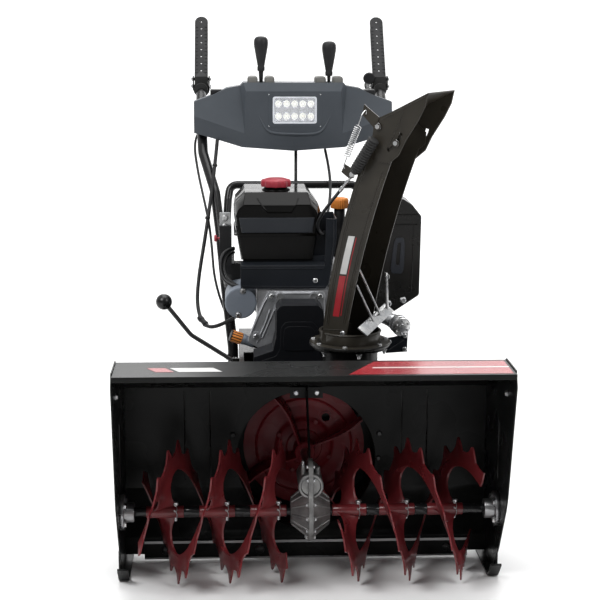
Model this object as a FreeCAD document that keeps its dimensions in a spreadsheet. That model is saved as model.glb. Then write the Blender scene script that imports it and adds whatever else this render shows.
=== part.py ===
"""Two-stage snowblower: auger housing, impeller and chute in front, engine and handlebars behind.

Millimetres. X is across the machine, Y runs back from the intake lip, Z is up from the ground.
The origin is on the ground at the centre of the machine's footprint, and the intake faces -Y.
Depths are written as "lip + distance", where lip is the Y of the front edge of the housing.
"""
import FreeCAD
import Part
import Sketcher

import math
import os
import re

V = FreeCAD.Vector

SIZES = [
    ("lip", -710, "front edge of the auger housing"),
    ("overall_length", 1420, "lip to the ends of the grips"),
    ("housing_half", 385, "half the inner width of the auger housing"),
    ("housing_top", 475, "height of the top plate"),
    ("lip_drop", 11, "turned-down front lip"),
    ("top_depth", 124, "depth of the flat top plate"),
    ("back_depth", 335, "depth of the upright back sheet"),
    ("back_top", 372, "height where the sloping sheet turns down"),
    ("gauge", 2.5, "housing sheet"),
    ("side_gauge", 3, "side plate and frame sheet"),
    ("auger_depth", 175, "auger axis behind the lip"),
    ("auger_height", 150, "auger axis above the ground"),
    ("auger_tip", 146, "auger tooth tip radius"),
    ("auger_root", 119, "auger ribbon outer edge between the teeth"),
    ("auger_inner", 86, "auger ribbon inner edge"),
    ("auger_pitch", 210, "lead of one ribbon"),
    ("ribbon_thickness", 3, "auger ribbon"),
    ("shaft_radius", 9.5, "auger shaft"),
    ("sleeve_radius", 12.2, "auger sleeve"),
    ("impeller_height", 212, "impeller axis above the ground"),
    ("impeller_tip", 141, "impeller blade tip radius"),
    ("impeller_shaft_radius", 10, "impeller shaft"),
    ("running_gap", 0.05, "radial clearance of a shaft in its bore"),
    ("drum_radius", 160, "impeller drum, outside"),
    ("drum_opening", 148, "opening from the housing into the drum"),
    ("drum_back", 458, "depth of the drum's rear face"),
    ("chute_across", 97, "chute axis, X"),
    ("chute_depth", 400, "chute axis behind the lip"),
    ("chute_turn", -32, "heading of the chute at rest, degrees from +X"),
    ("neck_radius", 60, "discharge neck, outside"),
    ("neck_top", 447, "top of the neck flange"),
    ("chute_half", 60, "half the width of the chute"),
    ("chute_gauge", 2.5, "chute sheet"),
    ("pivot_across", 94, "deflector pivot from the chute axis"),
    ("pivot_height", 922, "deflector pivot height"),
    ("slot_radius", 52, "deflector guide slot about the pivot"),
    ("frame_half", 140, "half the width of the tractor frame"),
    ("frame_low", 110, "lower edge of the tractor frame"),
    ("frame_high", 385, "engine deck height"),
    ("frame_back", 860, "rear of the tractor frame"),
    ("axle_depth", 700, "wheel axle behind the lip"),
    ("wheel_radius", 165, "tyre outside radius"),
    ("wheel_width", 112, "tyre width"),
    ("wheel_across", 300, "wheel centre plane, X"),
    ("rim_radius", 84, "bead seat radius"),
    ("axle_radius", 12.7, "wheel axle"),
    ("crank_height", 455, "engine crankshaft height"),
    ("crank_across", -15, "engine crankshaft, X"),
    ("crank_pulley", 34, "engine pulley radius"),
    ("impeller_pulley", 74, "impeller pulley radius"),
    ("belt_thickness", 8, "drive belt"),
    ("tube_radius", 12.5, "handlebar tube"),
    ("tube_wall", 2, "handlebar tube wall"),
    ("grip_radius", 17, "rubber grip"),
    ("grip_across", 232, "grip centre line, X"),
    ("grip_height", 950, "grip centre line above the ground"),
    ("console_front", 1000, "front face of the console"),
    ("console_deep", 80, "depth of the console"),
    ("paddle_length", 175, "clutch lever, pivot to the centre of its round tip"),
    ("paddle_rise", 53.6, "clutch lever angle when released, degrees"),
]

doc = FreeCAD.newDocument("snowblower")
sheet = doc.addObject("Spreadsheet::Sheet", "sizes")
for row, (alias, number, meaning) in enumerate(SIZES, start=1):
    sheet.set(f"A{row}", str(number))
    sheet.set(f"B{row}", meaning)
    sheet.setAlias(f"A{row}", alias)
doc.recompute()

ALIASES = {alias for alias, _, _ in SIZES}
parts = []


# ---------------------------------------------------------------- helpers

def size(expression):
    """Value of a sheet expression in millimetres or degrees."""
    return float(sheet.evalExpression(str(expression)))


def full(expression):
    """The same expression with every alias written as a cell of the sheet."""
    return re.sub(r"[a-z_]+", lambda word: "sizes." + word[0] if word[0] in ALIASES else word[0],
                  str(expression))


def bind(item, settings):
    for prop, expression in settings.items():
        item.setExpression(prop, full(expression))


def place(item, x=0, y=0, z=0, rotation=None):
    """Put an object at bound coordinates, turned by a fixed rotation."""
    item.Placement = FreeCAD.Placement(V(0, 0, 0), rotation or FreeCAD.Rotation())
    bind(item, {"Placement.Base.x": x, "Placement.Base.y": y, "Placement.Base.z": z})
    return item


def along(axis):
    """Rotation that turns +Z to the named axis."""
    directions = {"X": V(1, 0, 0), "Y": V(0, 1, 0), "Z": V(0, 0, 1)}
    return FreeCAD.Rotation(V(0, 0, 1), directions[axis])


def box(name, low, high):
    """Box between two corners given as expressions."""
    item = doc.addObject("Part::Box", name)
    names = ("Length", "Width", "Height")
    bind(item, {prop: f"({top}) - ({bottom})" for prop, bottom, top in zip(names, low, high)})
    return place(item, *low)


def rod(name, radius, length, x, y, z, axis="Z"):
    item = doc.addObject("Part::Cylinder", name)
    bind(item, {"Radius": radius, "Height": length})
    return place(item, x, y, z, along(axis))


def cone(name, radius, end_radius, length, x, y, z, axis="Z"):
    item = doc.addObject("Part::Cone", name)
    bind(item, {"Radius1": radius, "Radius2": end_radius, "Height": length})
    return place(item, x, y, z, along(axis))


def fuse(name, items):
    item = doc.addObject("Part::MultiFuse", name)
    item.Shapes = items
    return item


def cut(name, base, tools):
    """Base less every tool."""
    tool = tools[0] if len(tools) == 1 else fuse(name + "_tools", tools)
    item = doc.addObject("Part::Cut", name)
    item.Base = base
    item.Tool = tool
    return item


def common(name, base, tool):
    item = doc.addObject("Part::Common", name)
    item.Base = base
    item.Tool = tool
    return item


def group(name, items):
    """Separate solids that share one node."""
    item = doc.addObject("Part::Compound", name)
    item.Links = items
    return item


def mirrored(name, source):
    """Mirror image across the machine's centre plane."""
    item = doc.addObject("Part::Mirroring", name)
    item.Source = source
    item.Base = V(0, 0, 0)
    item.Normal = V(1, 0, 0)
    return item


def feature(name, shape, x=0, y=0, z=0, turn=0):
    """Part::Feature for a shape that the parametric tools do not make."""
    item = doc.addObject("Part::Feature", name)
    item.Shape = shape
    return place(item, x, y, z, FreeCAD.Rotation(V(0, 0, 1), size(turn)))


def publish(item, node):
    item.Label = node
    parts.append(item)
    return item


def origin_plane(body, role):
    return [item for item in body.Origin.OriginFeatures if item.Role == role][0]


def outline(body, plane, corners, name):
    """Closed sketch of straight lines whose corners are bound to the sheet."""
    sketch = body.newObject("Sketcher::SketchObject", name)
    sketch.AttachmentSupport = (origin_plane(body, plane), [""])
    sketch.MapMode = "FlatFace"
    points = [V(size(across), size(up), 0) for across, up in corners]
    count = len(points)
    for index in range(count):
        sketch.addGeometry(Part.LineSegment(points[index], points[(index + 1) % count]))
    for index in range(count):
        sketch.addConstraint(Sketcher.Constraint("Coincident", index, 2, (index + 1) % count, 1))
    for index, (point, corner) in enumerate(zip(points, corners)):
        for kind, number, expression in (("DistanceX", point.x, corner[0]),
                                         ("DistanceY", point.y, corner[1])):
            constraint = Sketcher.Constraint(kind, -1, 1, index, 1, number)
            row = sketch.addConstraint(constraint)
            sketch.setExpression(f"Constraints[{row}]", full(expression))
    return sketch


def pad(body, sketch, length, name="pad", back=False):
    item = body.newObject("PartDesign::Pad", name)
    item.Profile = sketch
    item.Reversed = back
    bind(item, {"Length": length})
    doc.recompute()
    return item


def edges_at(shape, plane, spots):
    """Names of the straight edges across a sketch plane that pass through the given corners."""
    picks = {"XZ_Plane": ("x", "z", "y"), "YZ_Plane": ("y", "z", "x"), "XY_Plane": ("x", "y", "z")}
    first, second, run = picks[plane]
    names = []
    for number, edge in enumerate(shape.Edges, start=1):
        start, end = edge.Vertexes[0].Point, edge.Vertexes[-1].Point
        if abs(getattr(start, run) - getattr(end, run)) < 0.5:
            continue
        for across, up in spots:
            near = [math.hypot(getattr(p, first) - across, getattr(p, second) - up) < 0.01
                    for p in (start, end)]
            if all(near):
                names.append(f"Edge{number}")
    return names


def rounded(body, base, plane, spots, radius, name):
    """Fillet of the edges that stand on the named sketch corners."""
    corners = [(size(across), size(up)) for across, up in spots]
    item = body.newObject("PartDesign::Fillet", name)
    item.Base = (base, edges_at(base.Shape, plane, corners))
    bind(item, {"Radius": radius})
    doc.recompute()
    return item


def plate(node, plane, corners, thickness, rounds=(), offset=(0, 0, 0), back=False):
    """Body padded from one outline, with chosen corners rounded."""
    body = doc.addObject("PartDesign::Body", node)
    sketch = outline(body, plane, corners, node + "_outline")
    last = pad(body, sketch, thickness, node + "_pad", back)
    for number, (radius, indexes) in enumerate(rounds):
        spots = [corners[index] for index in indexes]
        last = rounded(body, last, plane, spots, radius, f"{node}_round{number}")
    place(body, *offset)
    return body


def bent_path(points, radius):
    """Straight runs joined by tangent arcs, each as large as its runs allow, up to radius."""
    edges = []
    start = points[0]
    for before, corner, after in zip(points, points[1:], points[2:]):
        inward = (before - corner).normalize()
        outward = (after - corner).normalize()
        half_turn = (math.pi - inward.getAngle(outward)) / 2
        room = 0.45 * min((before - corner).Length, (after - corner).Length)
        bend = min(radius, room / math.tan(half_turn))
        reach = bend * math.tan(half_turn)
        middle_way = (inward + outward).normalize()
        first = corner + inward * reach
        last = corner + outward * reach
        middle = corner + middle_way * (bend / math.cos(half_turn) - bend)
        edges.append(Part.LineSegment(start, first).toShape())
        edges.append(Part.Arc(first, middle, last).toShape())
        start = last
    edges.append(Part.LineSegment(start, points[-1]).toShape())
    return Part.Wire(edges)


def swept(points, radius, bend):
    """Round bar along a bent path."""
    path = bent_path(points, bend)
    heading = (points[1] - points[0]).normalize()
    section = Part.Wire([Part.makeCircle(radius, points[0], heading)])
    solid = path.makePipeShell([section], True, False)
    expected = math.pi * radius ** 2 * path.Length
    assert abs(solid.Volume / expected - 1) < 0.01, "a swept bar has the wrong volume"
    return solid


def bar(start, end, radius):
    """Round bar between two points."""
    run = end - start
    return Part.makeCylinder(radius, run.Length, start, run)


def at_depth(x, depth, z):
    """Point given by its distance behind the lip."""
    return V(x, size("lip") + depth, z)


# ---------------------------------------------------------------- auger housing

def auger_housing():
    """One bent sheet: lip, top plate, sloping back, upright back and scoop, with the drum opening."""
    sketch = doc.addObject("Sketcher::SketchObject", "housing_path")
    sketch.Placement = FreeCAD.Placement(V(0, 0, 0), FreeCAD.Rotation(V(1, 1, 1), 120))
    scoop_radius = size("back_depth - auger_depth")
    centre = V(size("lip + auger_depth"), size("auger_height"), 0)
    flange_angle = math.radians(-38.6)
    flange = centre + V(math.cos(flange_angle), math.sin(flange_angle), 0) * scoop_radius
    corners = [
        V(size("lip"), size("housing_top - lip_drop"), 0),
        V(size("lip"), size("housing_top"), 0),
        V(size("lip + top_depth"), size("housing_top"), 0),
        V(size("lip + back_depth"), size("back_top"), 0),
        V(size("lip + back_depth"), size("auger_height"), 0),
    ]
    for start, end in zip(corners, corners[1:]):
        sketch.addGeometry(Part.LineSegment(start, end))
    scoop = Part.Circle(centre, V(0, 0, 1), scoop_radius)
    sketch.addGeometry(Part.ArcOfCircle(scoop, flange_angle, 0))
    sketch.addGeometry(Part.LineSegment(flange, V(flange.x, 14, 0)))
    skin = doc.addObject("Part::Offset2D", "housing_skin")
    skin.Source = sketch
    skin.Fill = True
    skin.Mode = "Skin"
    skin.Join = 2
    bind(skin, {"Value": "gauge"})
    swept_sheet = doc.addObject("Part::Extrusion", "housing_sheet")
    swept_sheet.Base = skin
    swept_sheet.DirMode = "Custom"
    swept_sheet.Dir = V(1, 0, 0)
    swept_sheet.Solid = True
    bind(swept_sheet, {"LengthFwd": "housing_half", "LengthRev": "housing_half"})
    opening = rod("drum_opening_tool", "drum_opening", 60, 0, "lip + back_depth - 30", "impeller_height", "Y")
    publish(cut("auger_housing", swept_sheet, [opening]), "auger_housing")


def side_plates():
    """Flat cheeks outside the housing, with a sled-shaped front and the shaft bore."""
    corners = [
        ("lip + 8", "housing_top - 29"),
        ("lip + 22", "housing_top + side_gauge"),
        ("lip + top_depth", "housing_top + side_gauge"),
        ("lip + back_depth + 3", "back_top + 3"),
        ("lip + back_depth + 3", "8"),
        ("lip + 205", "8"),
        ("lip + 148", "75"),
        ("lip + 72", "190"),
    ]
    for side, start in (("left", "-housing_half - side_gauge"), ("right", "housing_half")):
        cheek = plate("cheek_" + side, "YZ_Plane", corners, "side_gauge",
                      rounds=((40, (5,)), (90, (6,)), (160, (7,)), (12, (0, 4))), offset=(start, 0, 0))
        bore = rod("cheek_bore_" + side, "shaft_radius + 4", 40, f"{start} - 10",
                   "lip + auger_depth", "auger_height", "X")
        publish(cut("side_plate_" + side, cheek, [bore]), "side_plate_" + side)


def scraper_bar():
    """Replaceable steel edge bolted inside the lower flange of the housing."""
    corners = [("-345", "5"), ("345", "5"), ("345", "44"), ("-345", "44")]
    body = plate("scraper_bar", "XZ_Plane", corners, 5, back=True,
                 offset=(0, "lip + 292.4", 0))
    publish(body, "scraper_bar")


def skid_shoes():
    """Shoes under the side plates: an upright plate and a sole that curls up in front."""
    shoes = []
    for side, start in (("left", "-housing_half - side_gauge - 4"), ("right", "housing_half - 15")):
        sole = [
            ("lip + 140", "38"), ("lip + 180", "0"), ("lip + 332", "0"),
            ("lip + 332", "5"), ("lip + 182", "5"), ("lip + 144", "41"),
        ]
        runner = plate("sole_" + side, "YZ_Plane", sole, 22, rounds=((24, (1, 4)),), offset=(start, 0, 0))
        outside = "-housing_half - side_gauge - 4" if side == "left" else "housing_half + side_gauge"
        upright = box("shoe_plate_" + side, (outside, "lip + 186", 0), (f"{outside} + 4", "lip + 330", 62))
        shoes.append(fuse("skid_shoe_" + side, [runner, upright]))
    publish(group("skid_shoes", shoes), "skid_shoes")


def auger_bearings():
    """Flanged bearings inside the side plates."""
    blanks = []
    for side, start, hub in (("left", "-housing_half", "-housing_half"),
                             ("right", "housing_half - 8", "housing_half - 28")):
        place_of_axis = ("lip + auger_depth", "auger_height", "X")
        disc = rod("bearing_disc_" + side, 36, 8, start, *place_of_axis)
        nose = rod("bearing_nose_" + side, 20, 28, hub, *place_of_axis)
        bore = rod("bearing_bore_" + side, "shaft_radius + running_gap", 40, f"{hub} - 5", *place_of_axis)
        blanks.append(cut("bearing_" + side, fuse("bearing_blank_" + side, [disc, nose]), [bore]))
    publish(group("auger_bearings", blanks), "auger_bearings")


def impeller_drum():
    """Drum welded to the back of the housing, with the discharge neck and its flange."""
    axis = ("impeller_height", "Y")
    shell = rod("drum_outside", "drum_radius", "drum_back - back_depth", 0, "lip + back_depth", *axis)
    neck = rod("neck_outside", "neck_radius", "neck_top - impeller_height", "chute_across",
               "lip + chute_depth", "impeller_height")
    flange = rod("neck_flange", "neck_radius + 21", 6, "chute_across", "lip + chute_depth", "neck_top - 6")
    hollow = rod("drum_inside", "drum_radius - side_gauge", "drum_back - back_depth", 0,
                 "lip + back_depth - side_gauge", *axis)
    bore = rod("neck_inside", "neck_radius - side_gauge", "neck_top - impeller_height + 10",
               "chute_across", "lip + chute_depth", "impeller_height")
    shaft_hole = rod("drum_shaft_hole", "impeller_shaft_radius + running_gap", 40, 0,
                     "lip + drum_back - 20", *axis)
    trim = box("drum_trim", (-200, "lip + back_depth - 40", 0), (200, "lip + back_depth", 600))
    weldment = fuse("drum_weldment", [shell, neck, flange])
    publish(cut("impeller_drum", weldment, [hollow, bore, shaft_hole, trim]), "impeller_drum")


# ---------------------------------------------------------------- auger

def saw_radius(angle):
    """Outer radius of the ribbon: a pointed tooth every 30 degrees."""
    step = round(angle / 7.5) % 4
    root, tip = size("auger_root"), size("auger_tip")
    return (root, root + 0.25 * (tip - root), tip, root)[step]


def ribbon(start, end, first_crossing, hand):
    """Toothed helical ribbon from X = start to X = end; it crosses the front at first_crossing."""
    inner = size("auger_inner")
    thick = size("ribbon_thickness")
    lead = size("auger_pitch")
    step = 7.5
    first = math.ceil(360 * (start - first_crossing) / lead / step)
    last = math.floor(360 * (end - first_crossing) / lead / step)
    points = []
    for count in range(first, last + 1):
        angle = count * step
        across = first_crossing + angle / 360 * lead
        turn = math.radians(angle * hand)
        for radius in (inner, saw_radius(angle)):
            for side in (-thick / 2, thick / 2):
                points.append(V(across + side, -radius * math.cos(turn), radius * math.sin(turn)))
    faces = []
    for station in range(last - first):
        near = 4 * station
        for a, b in ((0, 1), (1, 3), (3, 2), (2, 0)):
            faces.append((near + a, near + b, near + b + 4))
            faces.append((near + a, near + b + 4, near + a + 4))
    end_row = 4 * (last - first)
    faces += [(0, 2, 3), (0, 3, 1), (end_row, end_row + 1, end_row + 3), (end_row, end_row + 3, end_row + 2)]
    triangles = [Part.Face(Part.makePolygon([points[i] for i in face + face[:1]])) for face in faces]
    solid = Part.makeSolid(Part.makeShell(triangles))
    return solid if solid.Volume > 0 else solid.reversed()


def flight(side, hand, crossings, span, sleeves):
    """Two ribbons 180 degrees apart, the sleeves on the shaft and the arms that join them."""
    pieces = [ribbon(*span, crossing, hand) for crossing in crossings]
    shaft, sleeve = size("shaft_radius"), size("sleeve_radius")
    for low, high in sleeves:
        tube = Part.makeCylinder(sleeve, high - low, V(low, 0, 0), V(1, 0, 0))
        middle = (low + high) / 2
        for crossing in crossings:
            angle = hand * 360 * (middle - crossing) / size("auger_pitch")
            arm = Part.makeBox(30, size("auger_inner") + 6 - shaft, 5, V(middle - 15, shaft, -2.5))
            arm.rotate(V(0, 0, 0), V(1, 0, 0), 180 - angle)
            pieces.append(arm)
        pieces.append(tube)
    whole = pieces[0].fuse(pieces[1:]).removeSplitter()
    bore = Part.makeCylinder(shaft, 800, V(-400, 0, 0), V(1, 0, 0))
    node = "auger_flight_" + side
    publish(feature(node, whole.cut(bore), 0, "lip + auger_depth", "auger_height"), node)


LEFT_SLEEVES = ((-333, -257), (-225, -153), (-122, -48))
RIGHT_SLEEVES = ((45, 115), (141, 214), (240, 313))


def auger():
    """Double-start auger: the two sides wind opposite ways and feed snow to the middle."""
    flight("left", 1, (-330, -225), (-345, -50), LEFT_SLEEVES)
    flight("right", -1, (54, 159), (50, 341), RIGHT_SLEEVES)
    axis = ("lip + auger_depth", "auger_height", "X")
    pieces = [rod("auger_axle", "shaft_radius", 744, -372, *axis)]
    for low, high in ((-257, -225), (-153, -122), (115, 141), (214, 240)):
        tube = rod("spacer", "sleeve_radius - 0.6", high - low, low, *axis)
        hole = rod("spacer_bore", "shaft_radius", high - low + 2, low - 1, *axis)
        pieces.append(cut("auger_spacer", tube, [hole]))
    publish(group("auger_shaft", pieces), "auger_shaft")
    pins = []
    for low, high in LEFT_SLEEVES + RIGHT_SLEEVES:
        where = (high - 16, "lip + auger_depth", "auger_height - 19")
        shank = rod("pin_shank", 3, 38, *where)
        head = rod("pin_head", 5.5, 5, where[0], where[1], "auger_height + 15")
        pins.append(fuse("shear_pin", [shank, head]))
    publish(group("auger_pins", pins), "auger_pins")
    blank = rod("wheel_blank", 44, 15, -7.5, *axis)
    bore = rod("wheel_bore", "shaft_radius", 17, -8.5, *axis)
    publish(cut("worm_wheel", blank, [bore]), "worm_wheel")


# ---------------------------------------------------------------- gearbox

def gearbox():
    """Aluminium worm gearbox in two halves, split on the centre plane, with its strut."""
    axis = ("lip + auger_depth", "auger_height", "X")
    flange = rod("half_flange", 60, 5, 0, *axis)
    shell = cone("half_cone", 54, 25, 35, 5, *axis)
    boss = rod("worm_boss", 25, 94, 0, "lip + auger_depth - 34", "impeller_height", "Y")
    cap = cone("worm_cap", 25, 14, 8, 0, "lip + auger_depth + 60", "impeller_height", "Y")
    breather = rod("breather", 6, 16, 14, "lip + auger_depth - 12", "impeller_height + 18")
    whole = fuse("half_blank", [flange, shell, boss, cap, breather])
    side = box("half_space", (0, "lip", 0), (60, "lip + 300", 400))
    half = common("half_trimmed", whole, side)
    wheel_room = rod("wheel_room", 47, 9, -1, *axis)
    bore = rod("half_bore", "shaft_radius + running_gap", 80, -1, *axis)
    worm_room = rod("worm_room", 18.5, 56, 0, "lip + auger_depth - 26", "impeller_height", "Y")
    worm_bore = rod("worm_bore", "impeller_shaft_radius + running_gap", 90, 0,
                    "lip + auger_depth - 20", "impeller_height", "Y")
    right = cut("gearbox_half", half, [wheel_room, bore, worm_room, worm_bore])
    publish(right, "gearbox_shell_right")
    publish(mirrored("gearbox_mirror", right), "gearbox_shell_left")
    corners = [
        ("lip + auger_depth - 8", "impeller_height + 25.2"),
        ("lip + auger_depth + 16", "impeller_height + 25.2"),
        ("lip + 330", "350"), ("lip + 330", "369"), ("lip + 310", "369"),
    ]
    blade = plate("strut_blade", "YZ_Plane", corners, 4, offset=(-2, 0, 0))
    foot = doc.addObject("Part::Box", "strut_foot")
    bind(foot, {"Length": 70, "Width": 4, "Height": 24})
    place(foot, -35, "lip + back_depth - gauge - 4.2", "346")
    publish(fuse("gearbox_strut", [blade, foot]), "gearbox_strut")


# ---------------------------------------------------------------- impeller and belt drive

def impeller():
    """Bladed fan: a dished disc, a wide back plate and four scooped blades."""
    back = rod("fan_back", "impeller_tip - 8", 3, 0, "lip + 436", "impeller_height", "Y")
    dish = cone("fan_dish", 34, 78, 18, 0, "lip + 418.2", "impeller_height", "Y")
    hub = rod("fan_hub", 22, 62, 0, "lip + 377", "impeller_height", "Y")
    blades = []
    for turn in (20, 110, 200, 290):
        blade = doc.addObject("Part::Box", "fan_blade")
        bind(blade, {"Length": "impeller_tip - 20", "Width": 60, "Height": 3.5})
        blade.Placement = FreeCAD.Placement(V(0, 0, 0), FreeCAD.Rotation(V(0, 1, 0), -turn))
        reach = {"Placement.Base.x": f"20 * cos({turn} * 1 deg)", "Placement.Base.y": "lip + 377",
                 "Placement.Base.z": f"impeller_height + 20 * sin({turn} * 1 deg)"}
        bind(blade, reach)
        blades.append(blade)
    bore = rod("fan_bore", "impeller_shaft_radius", 100, 0, "lip + 360", "impeller_height", "Y")
    view_hole = rod("fan_hole", 10, 60, 48, "lip + 400", "impeller_height + 63", "Y")
    publish(cut("impeller", fuse("fan_blank", [back, dish, hub] + blades), [bore, view_hole]), "impeller")


def belt_drive():
    """Impeller shaft with its worm and pulley, the engine pulley and the belt between them."""
    axis = ("impeller_height", "Y")
    core = rod("drive_core", "impeller_shaft_radius", 394, 0, "lip + auger_depth - 22", *axis)
    worm = rod("worm", 17, 46, 0, "lip + auger_depth - 20", *axis)
    wheel = rod("driven_pulley", "impeller_pulley", 20, 0, "lip + 505", *axis)
    groove = rod("driven_groove", "impeller_pulley + 5", 14, 0, "lip + 508", *axis)
    floor = rod("driven_floor", "impeller_pulley - 9", 14, 0, "lip + 508", *axis)
    rim = cut("driven_rim", wheel, [cut("driven_ring", groove, [floor])])
    publish(fuse("impeller_shaft", [core, worm, rim]), "impeller_shaft")
    engine_axis = ("crank_height", "Y")
    stub = rod("crank_stub", "axle_radius", 92, "crank_across", "lip + 505", *engine_axis)
    wheel = rod("engine_wheel", "crank_pulley", 20, "crank_across", "lip + 505", *engine_axis)
    groove = rod("engine_groove", "crank_pulley + 5", 14, "crank_across", "lip + 508", *engine_axis)
    floor = rod("engine_floor", "crank_pulley - 9", 14, "crank_across", "lip + 508", *engine_axis)
    rim = cut("engine_rim", wheel, [cut("engine_ring", groove, [floor])])
    publish(fuse("engine_pulley", [stub, rim]), "engine_pulley")
    publish(feature("drive_belt", belt_loop(), 0, "lip + 510", 0), "drive_belt")


def belt_face(lower_radius, upper_radius):
    """Flat face bounded by two pulley arcs and their outer tangents."""
    low = V(0, 0, size("impeller_height"))
    high = V(size("crank_across"), 0, size("crank_height"))
    run = high - low
    lean = math.atan2(run.x, run.z)
    slant = math.asin((lower_radius - upper_radius) / run.Length)
    ends = []
    for sign in (1, -1):
        angle = lean + sign * (math.pi / 2 - slant)
        away = V(math.sin(angle), 0, math.cos(angle))
        ends.append((low + away * lower_radius, high + away * upper_radius))
    axis_way = V(math.sin(lean), 0, math.cos(lean))
    edges = [
        Part.makeLine(ends[0][0], ends[0][1]),
        Part.Arc(ends[0][1], high + axis_way * upper_radius, ends[1][1]).toShape(),
        Part.makeLine(ends[1][1], ends[1][0]),
        Part.Arc(ends[1][0], low - axis_way * lower_radius, ends[0][0]).toShape(),
    ]
    return Part.Face(Part.Wire(edges))


def belt_loop():
    """Belt that rides just clear of both pulley grooves."""
    thick = size("belt_thickness")
    inner = (size("impeller_pulley") - 8.5, size("crank_pulley") - 8.5)
    outside = belt_face(inner[0] + thick, inner[1] + thick).extrude(V(0, 10, 0))
    return outside.cut(belt_face(*inner).extrude(V(0, 10, 0)))


def belt_cover():
    """Stepped plastic cover over the pulleys, open towards the drum and the engine."""
    corners = [
        ("-100", "128"), ("92", "128"), ("92", "300"), ("52", "400"), ("46", "500"), ("34", "512"),
        ("-48", "512"), ("-58", "500"), ("-59", "440"), ("-66", "410"), ("-108", "396"), ("-108", "300"),
    ]
    inner = [
        ("-96", "132"), ("88", "132"), ("88", "299"), ("48", "399"), ("42", "498"), ("32", "508"),
        ("-46", "508"), ("-54", "498"), ("-55", "440"), ("-62", "407"), ("-104", "393"), ("-104", "300"),
    ]
    shell = plate("cover_shell", "XZ_Plane", corners, 82, rounds=((8, (3, 4, 5, 6, 7)),),
                  offset=(0, "lip + 500", 0), back=True)
    room = plate("cover_room", "XZ_Plane", inner, 90, offset=(0, "lip + 504", 0), back=True)
    hole = rod("cover_shaft_hole", "impeller_shaft_radius + 4", 20, 0, "lip + 490", "impeller_height", "Y")
    publish(cut("belt_cover", shell, [room, hole]), "belt_cover")


# ---------------------------------------------------------------- tractor frame and wheels

def tractor_frame():
    """Folded steel frame under the engine, open below, with the axle bores."""
    outer = box("frame_outer", ("-frame_half", "lip + 460", "frame_low"),
                ("frame_half", "lip + frame_back", "frame_high"))
    inner = box("frame_inner", ("side_gauge - frame_half", "lip + 463", "frame_low - 10"),
                ("frame_half - side_gauge", "lip + frame_back - side_gauge", "frame_high - side_gauge"))
    gap = box("frame_gap", (-130, "lip + 470", "frame_high - 20"), (130, "lip + 596", "frame_high + 10"))
    shaft = rod("frame_shaft_hole", 16, 20, 0, "lip + 450", "impeller_height", "Y")
    axle = rod("frame_axle_hole", "axle_radius + running_gap", 400, -200, "lip + axle_depth",
               "wheel_radius", "X")
    ear = box("lever_ear", ("-frame_half - 16", "lip + 566", 352), ("-frame_half", "lip + 572", 378))
    pin = rod("lever_pin", 5, 30, "-frame_half - 10", "lip + 566", 366, "Y")
    shell = cut("frame_shell", outer, [inner, gap, shaft, axle])
    publish(fuse("tractor_frame", [shell, ear, pin]), "tractor_frame")


def wheels():
    """Tyres, rims and the through axle; the right wheel turns on the axle when its pin is out."""
    axis = ("lip + axle_depth", "wheel_radius", "X")
    publish(rod("axle", "axle_radius", "2 * wheel_across + wheel_width - 20",
                "10 - wheel_across - wheel_width / 2", *axis), "axle")
    for side, centre, gap in (("left", "-wheel_across", "0"), ("right", "wheel_across", "running_gap")):
        start = f"{centre} - wheel_width / 2"
        blank = rod("tyre_blank_" + side, "wheel_radius", "wheel_width", start, *axis)
        crowned = doc.addObject("Part::Fillet", "tyre_crowned_" + side)
        crowned.Base = blank
        doc.recompute()
        crowned.Edges = [(number, 26, 26) for number, edge in enumerate(blank.Shape.Edges, start=1)
                         if edge.Curve.TypeId == "Part::GeomCircle"]
        bead = rod("tyre_bead_" + side, "rim_radius", "wheel_width + 2", f"{start} - 1", *axis)
        publish(cut("tyre_" + side, crowned, [bead]), "tyre_" + side)
        barrel = rod("rim_barrel_" + side, "rim_radius", "wheel_width - 12", f"{start} + 6", *axis)
        inside = rod("rim_inside_" + side, "rim_radius - 4", "wheel_width", start, *axis)
        disc = rod("rim_disc_" + side, "rim_radius - 2", 5, f"{centre} - 2.5", *axis)
        hub = rod("rim_hub_" + side, 24, "wheel_width - 22", f"{start} + 8", *axis)
        bore = rod("rim_bore_" + side, f"axle_radius + {gap}", 200, f"{centre} - 100", *axis)
        band = cut("rim_band_" + side, barrel, [inside])
        publish(cut("rim_" + side, fuse("rim_blank_" + side, [band, disc, hub]), [bore]), "rim_" + side)


# ---------------------------------------------------------------- engine

def engine_core():
    """Crankcase with its finned barrel, the front casting and the sheet shroud before the tank."""
    sump = box("sump", (-98, "lip + 600", "frame_high"), (62, "lip + 790", 526))
    upper = box("upper_case", (-98, "lip + 618", 520), (62, "lip + 790", 570))
    barrel = box("barrel", (62, "lip + 650", 470), (96, "lip + 750", 580))
    fins = [box("fin", (60, "lip + 640", 478 + 14 * row), (106, "lip + 758", 484 + 14 * row))
            for row in range(7)]
    fan_case = rod("fan_case", 92, 12, "crank_across", "lip + 789", 480, "Y")
    publish(fuse("engine_block", [sump, upper, barrel, fan_case] + fins), "engine_block")
    corners = [
        ("-122", "412"), ("-112", "440"), ("-88", "500"), ("-74", "527"), ("42", "527"), ("54", "514"),
        ("54", "392"), ("-90", "392"),
    ]
    front = plate("front_casting", "XZ_Plane", corners, 11, rounds=((9, (0, 3, 4, 5)),),
                  offset=(0, "lip + 589", 0), back=True)
    seal = rod("crank_seal", "axle_radius + running_gap", 30, "crank_across", "lip + 580",
               "crank_height", "Y")
    publish(cut("crankcase_cover", front, [seal]), "crankcase_cover")
    corners = [
        ("-136", "531"), ("-100", "529"), ("57", "529"), ("64", "540"), ("82", "640"), ("82", "690"),
        ("58", "690"), ("55", "582"), ("-136", "582"),
    ]
    publish(plate("engine_shroud", "XZ_Plane", corners, 3, offset=(0, "lip + 612", 0), back=True),
            "engine_shroud")


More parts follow.
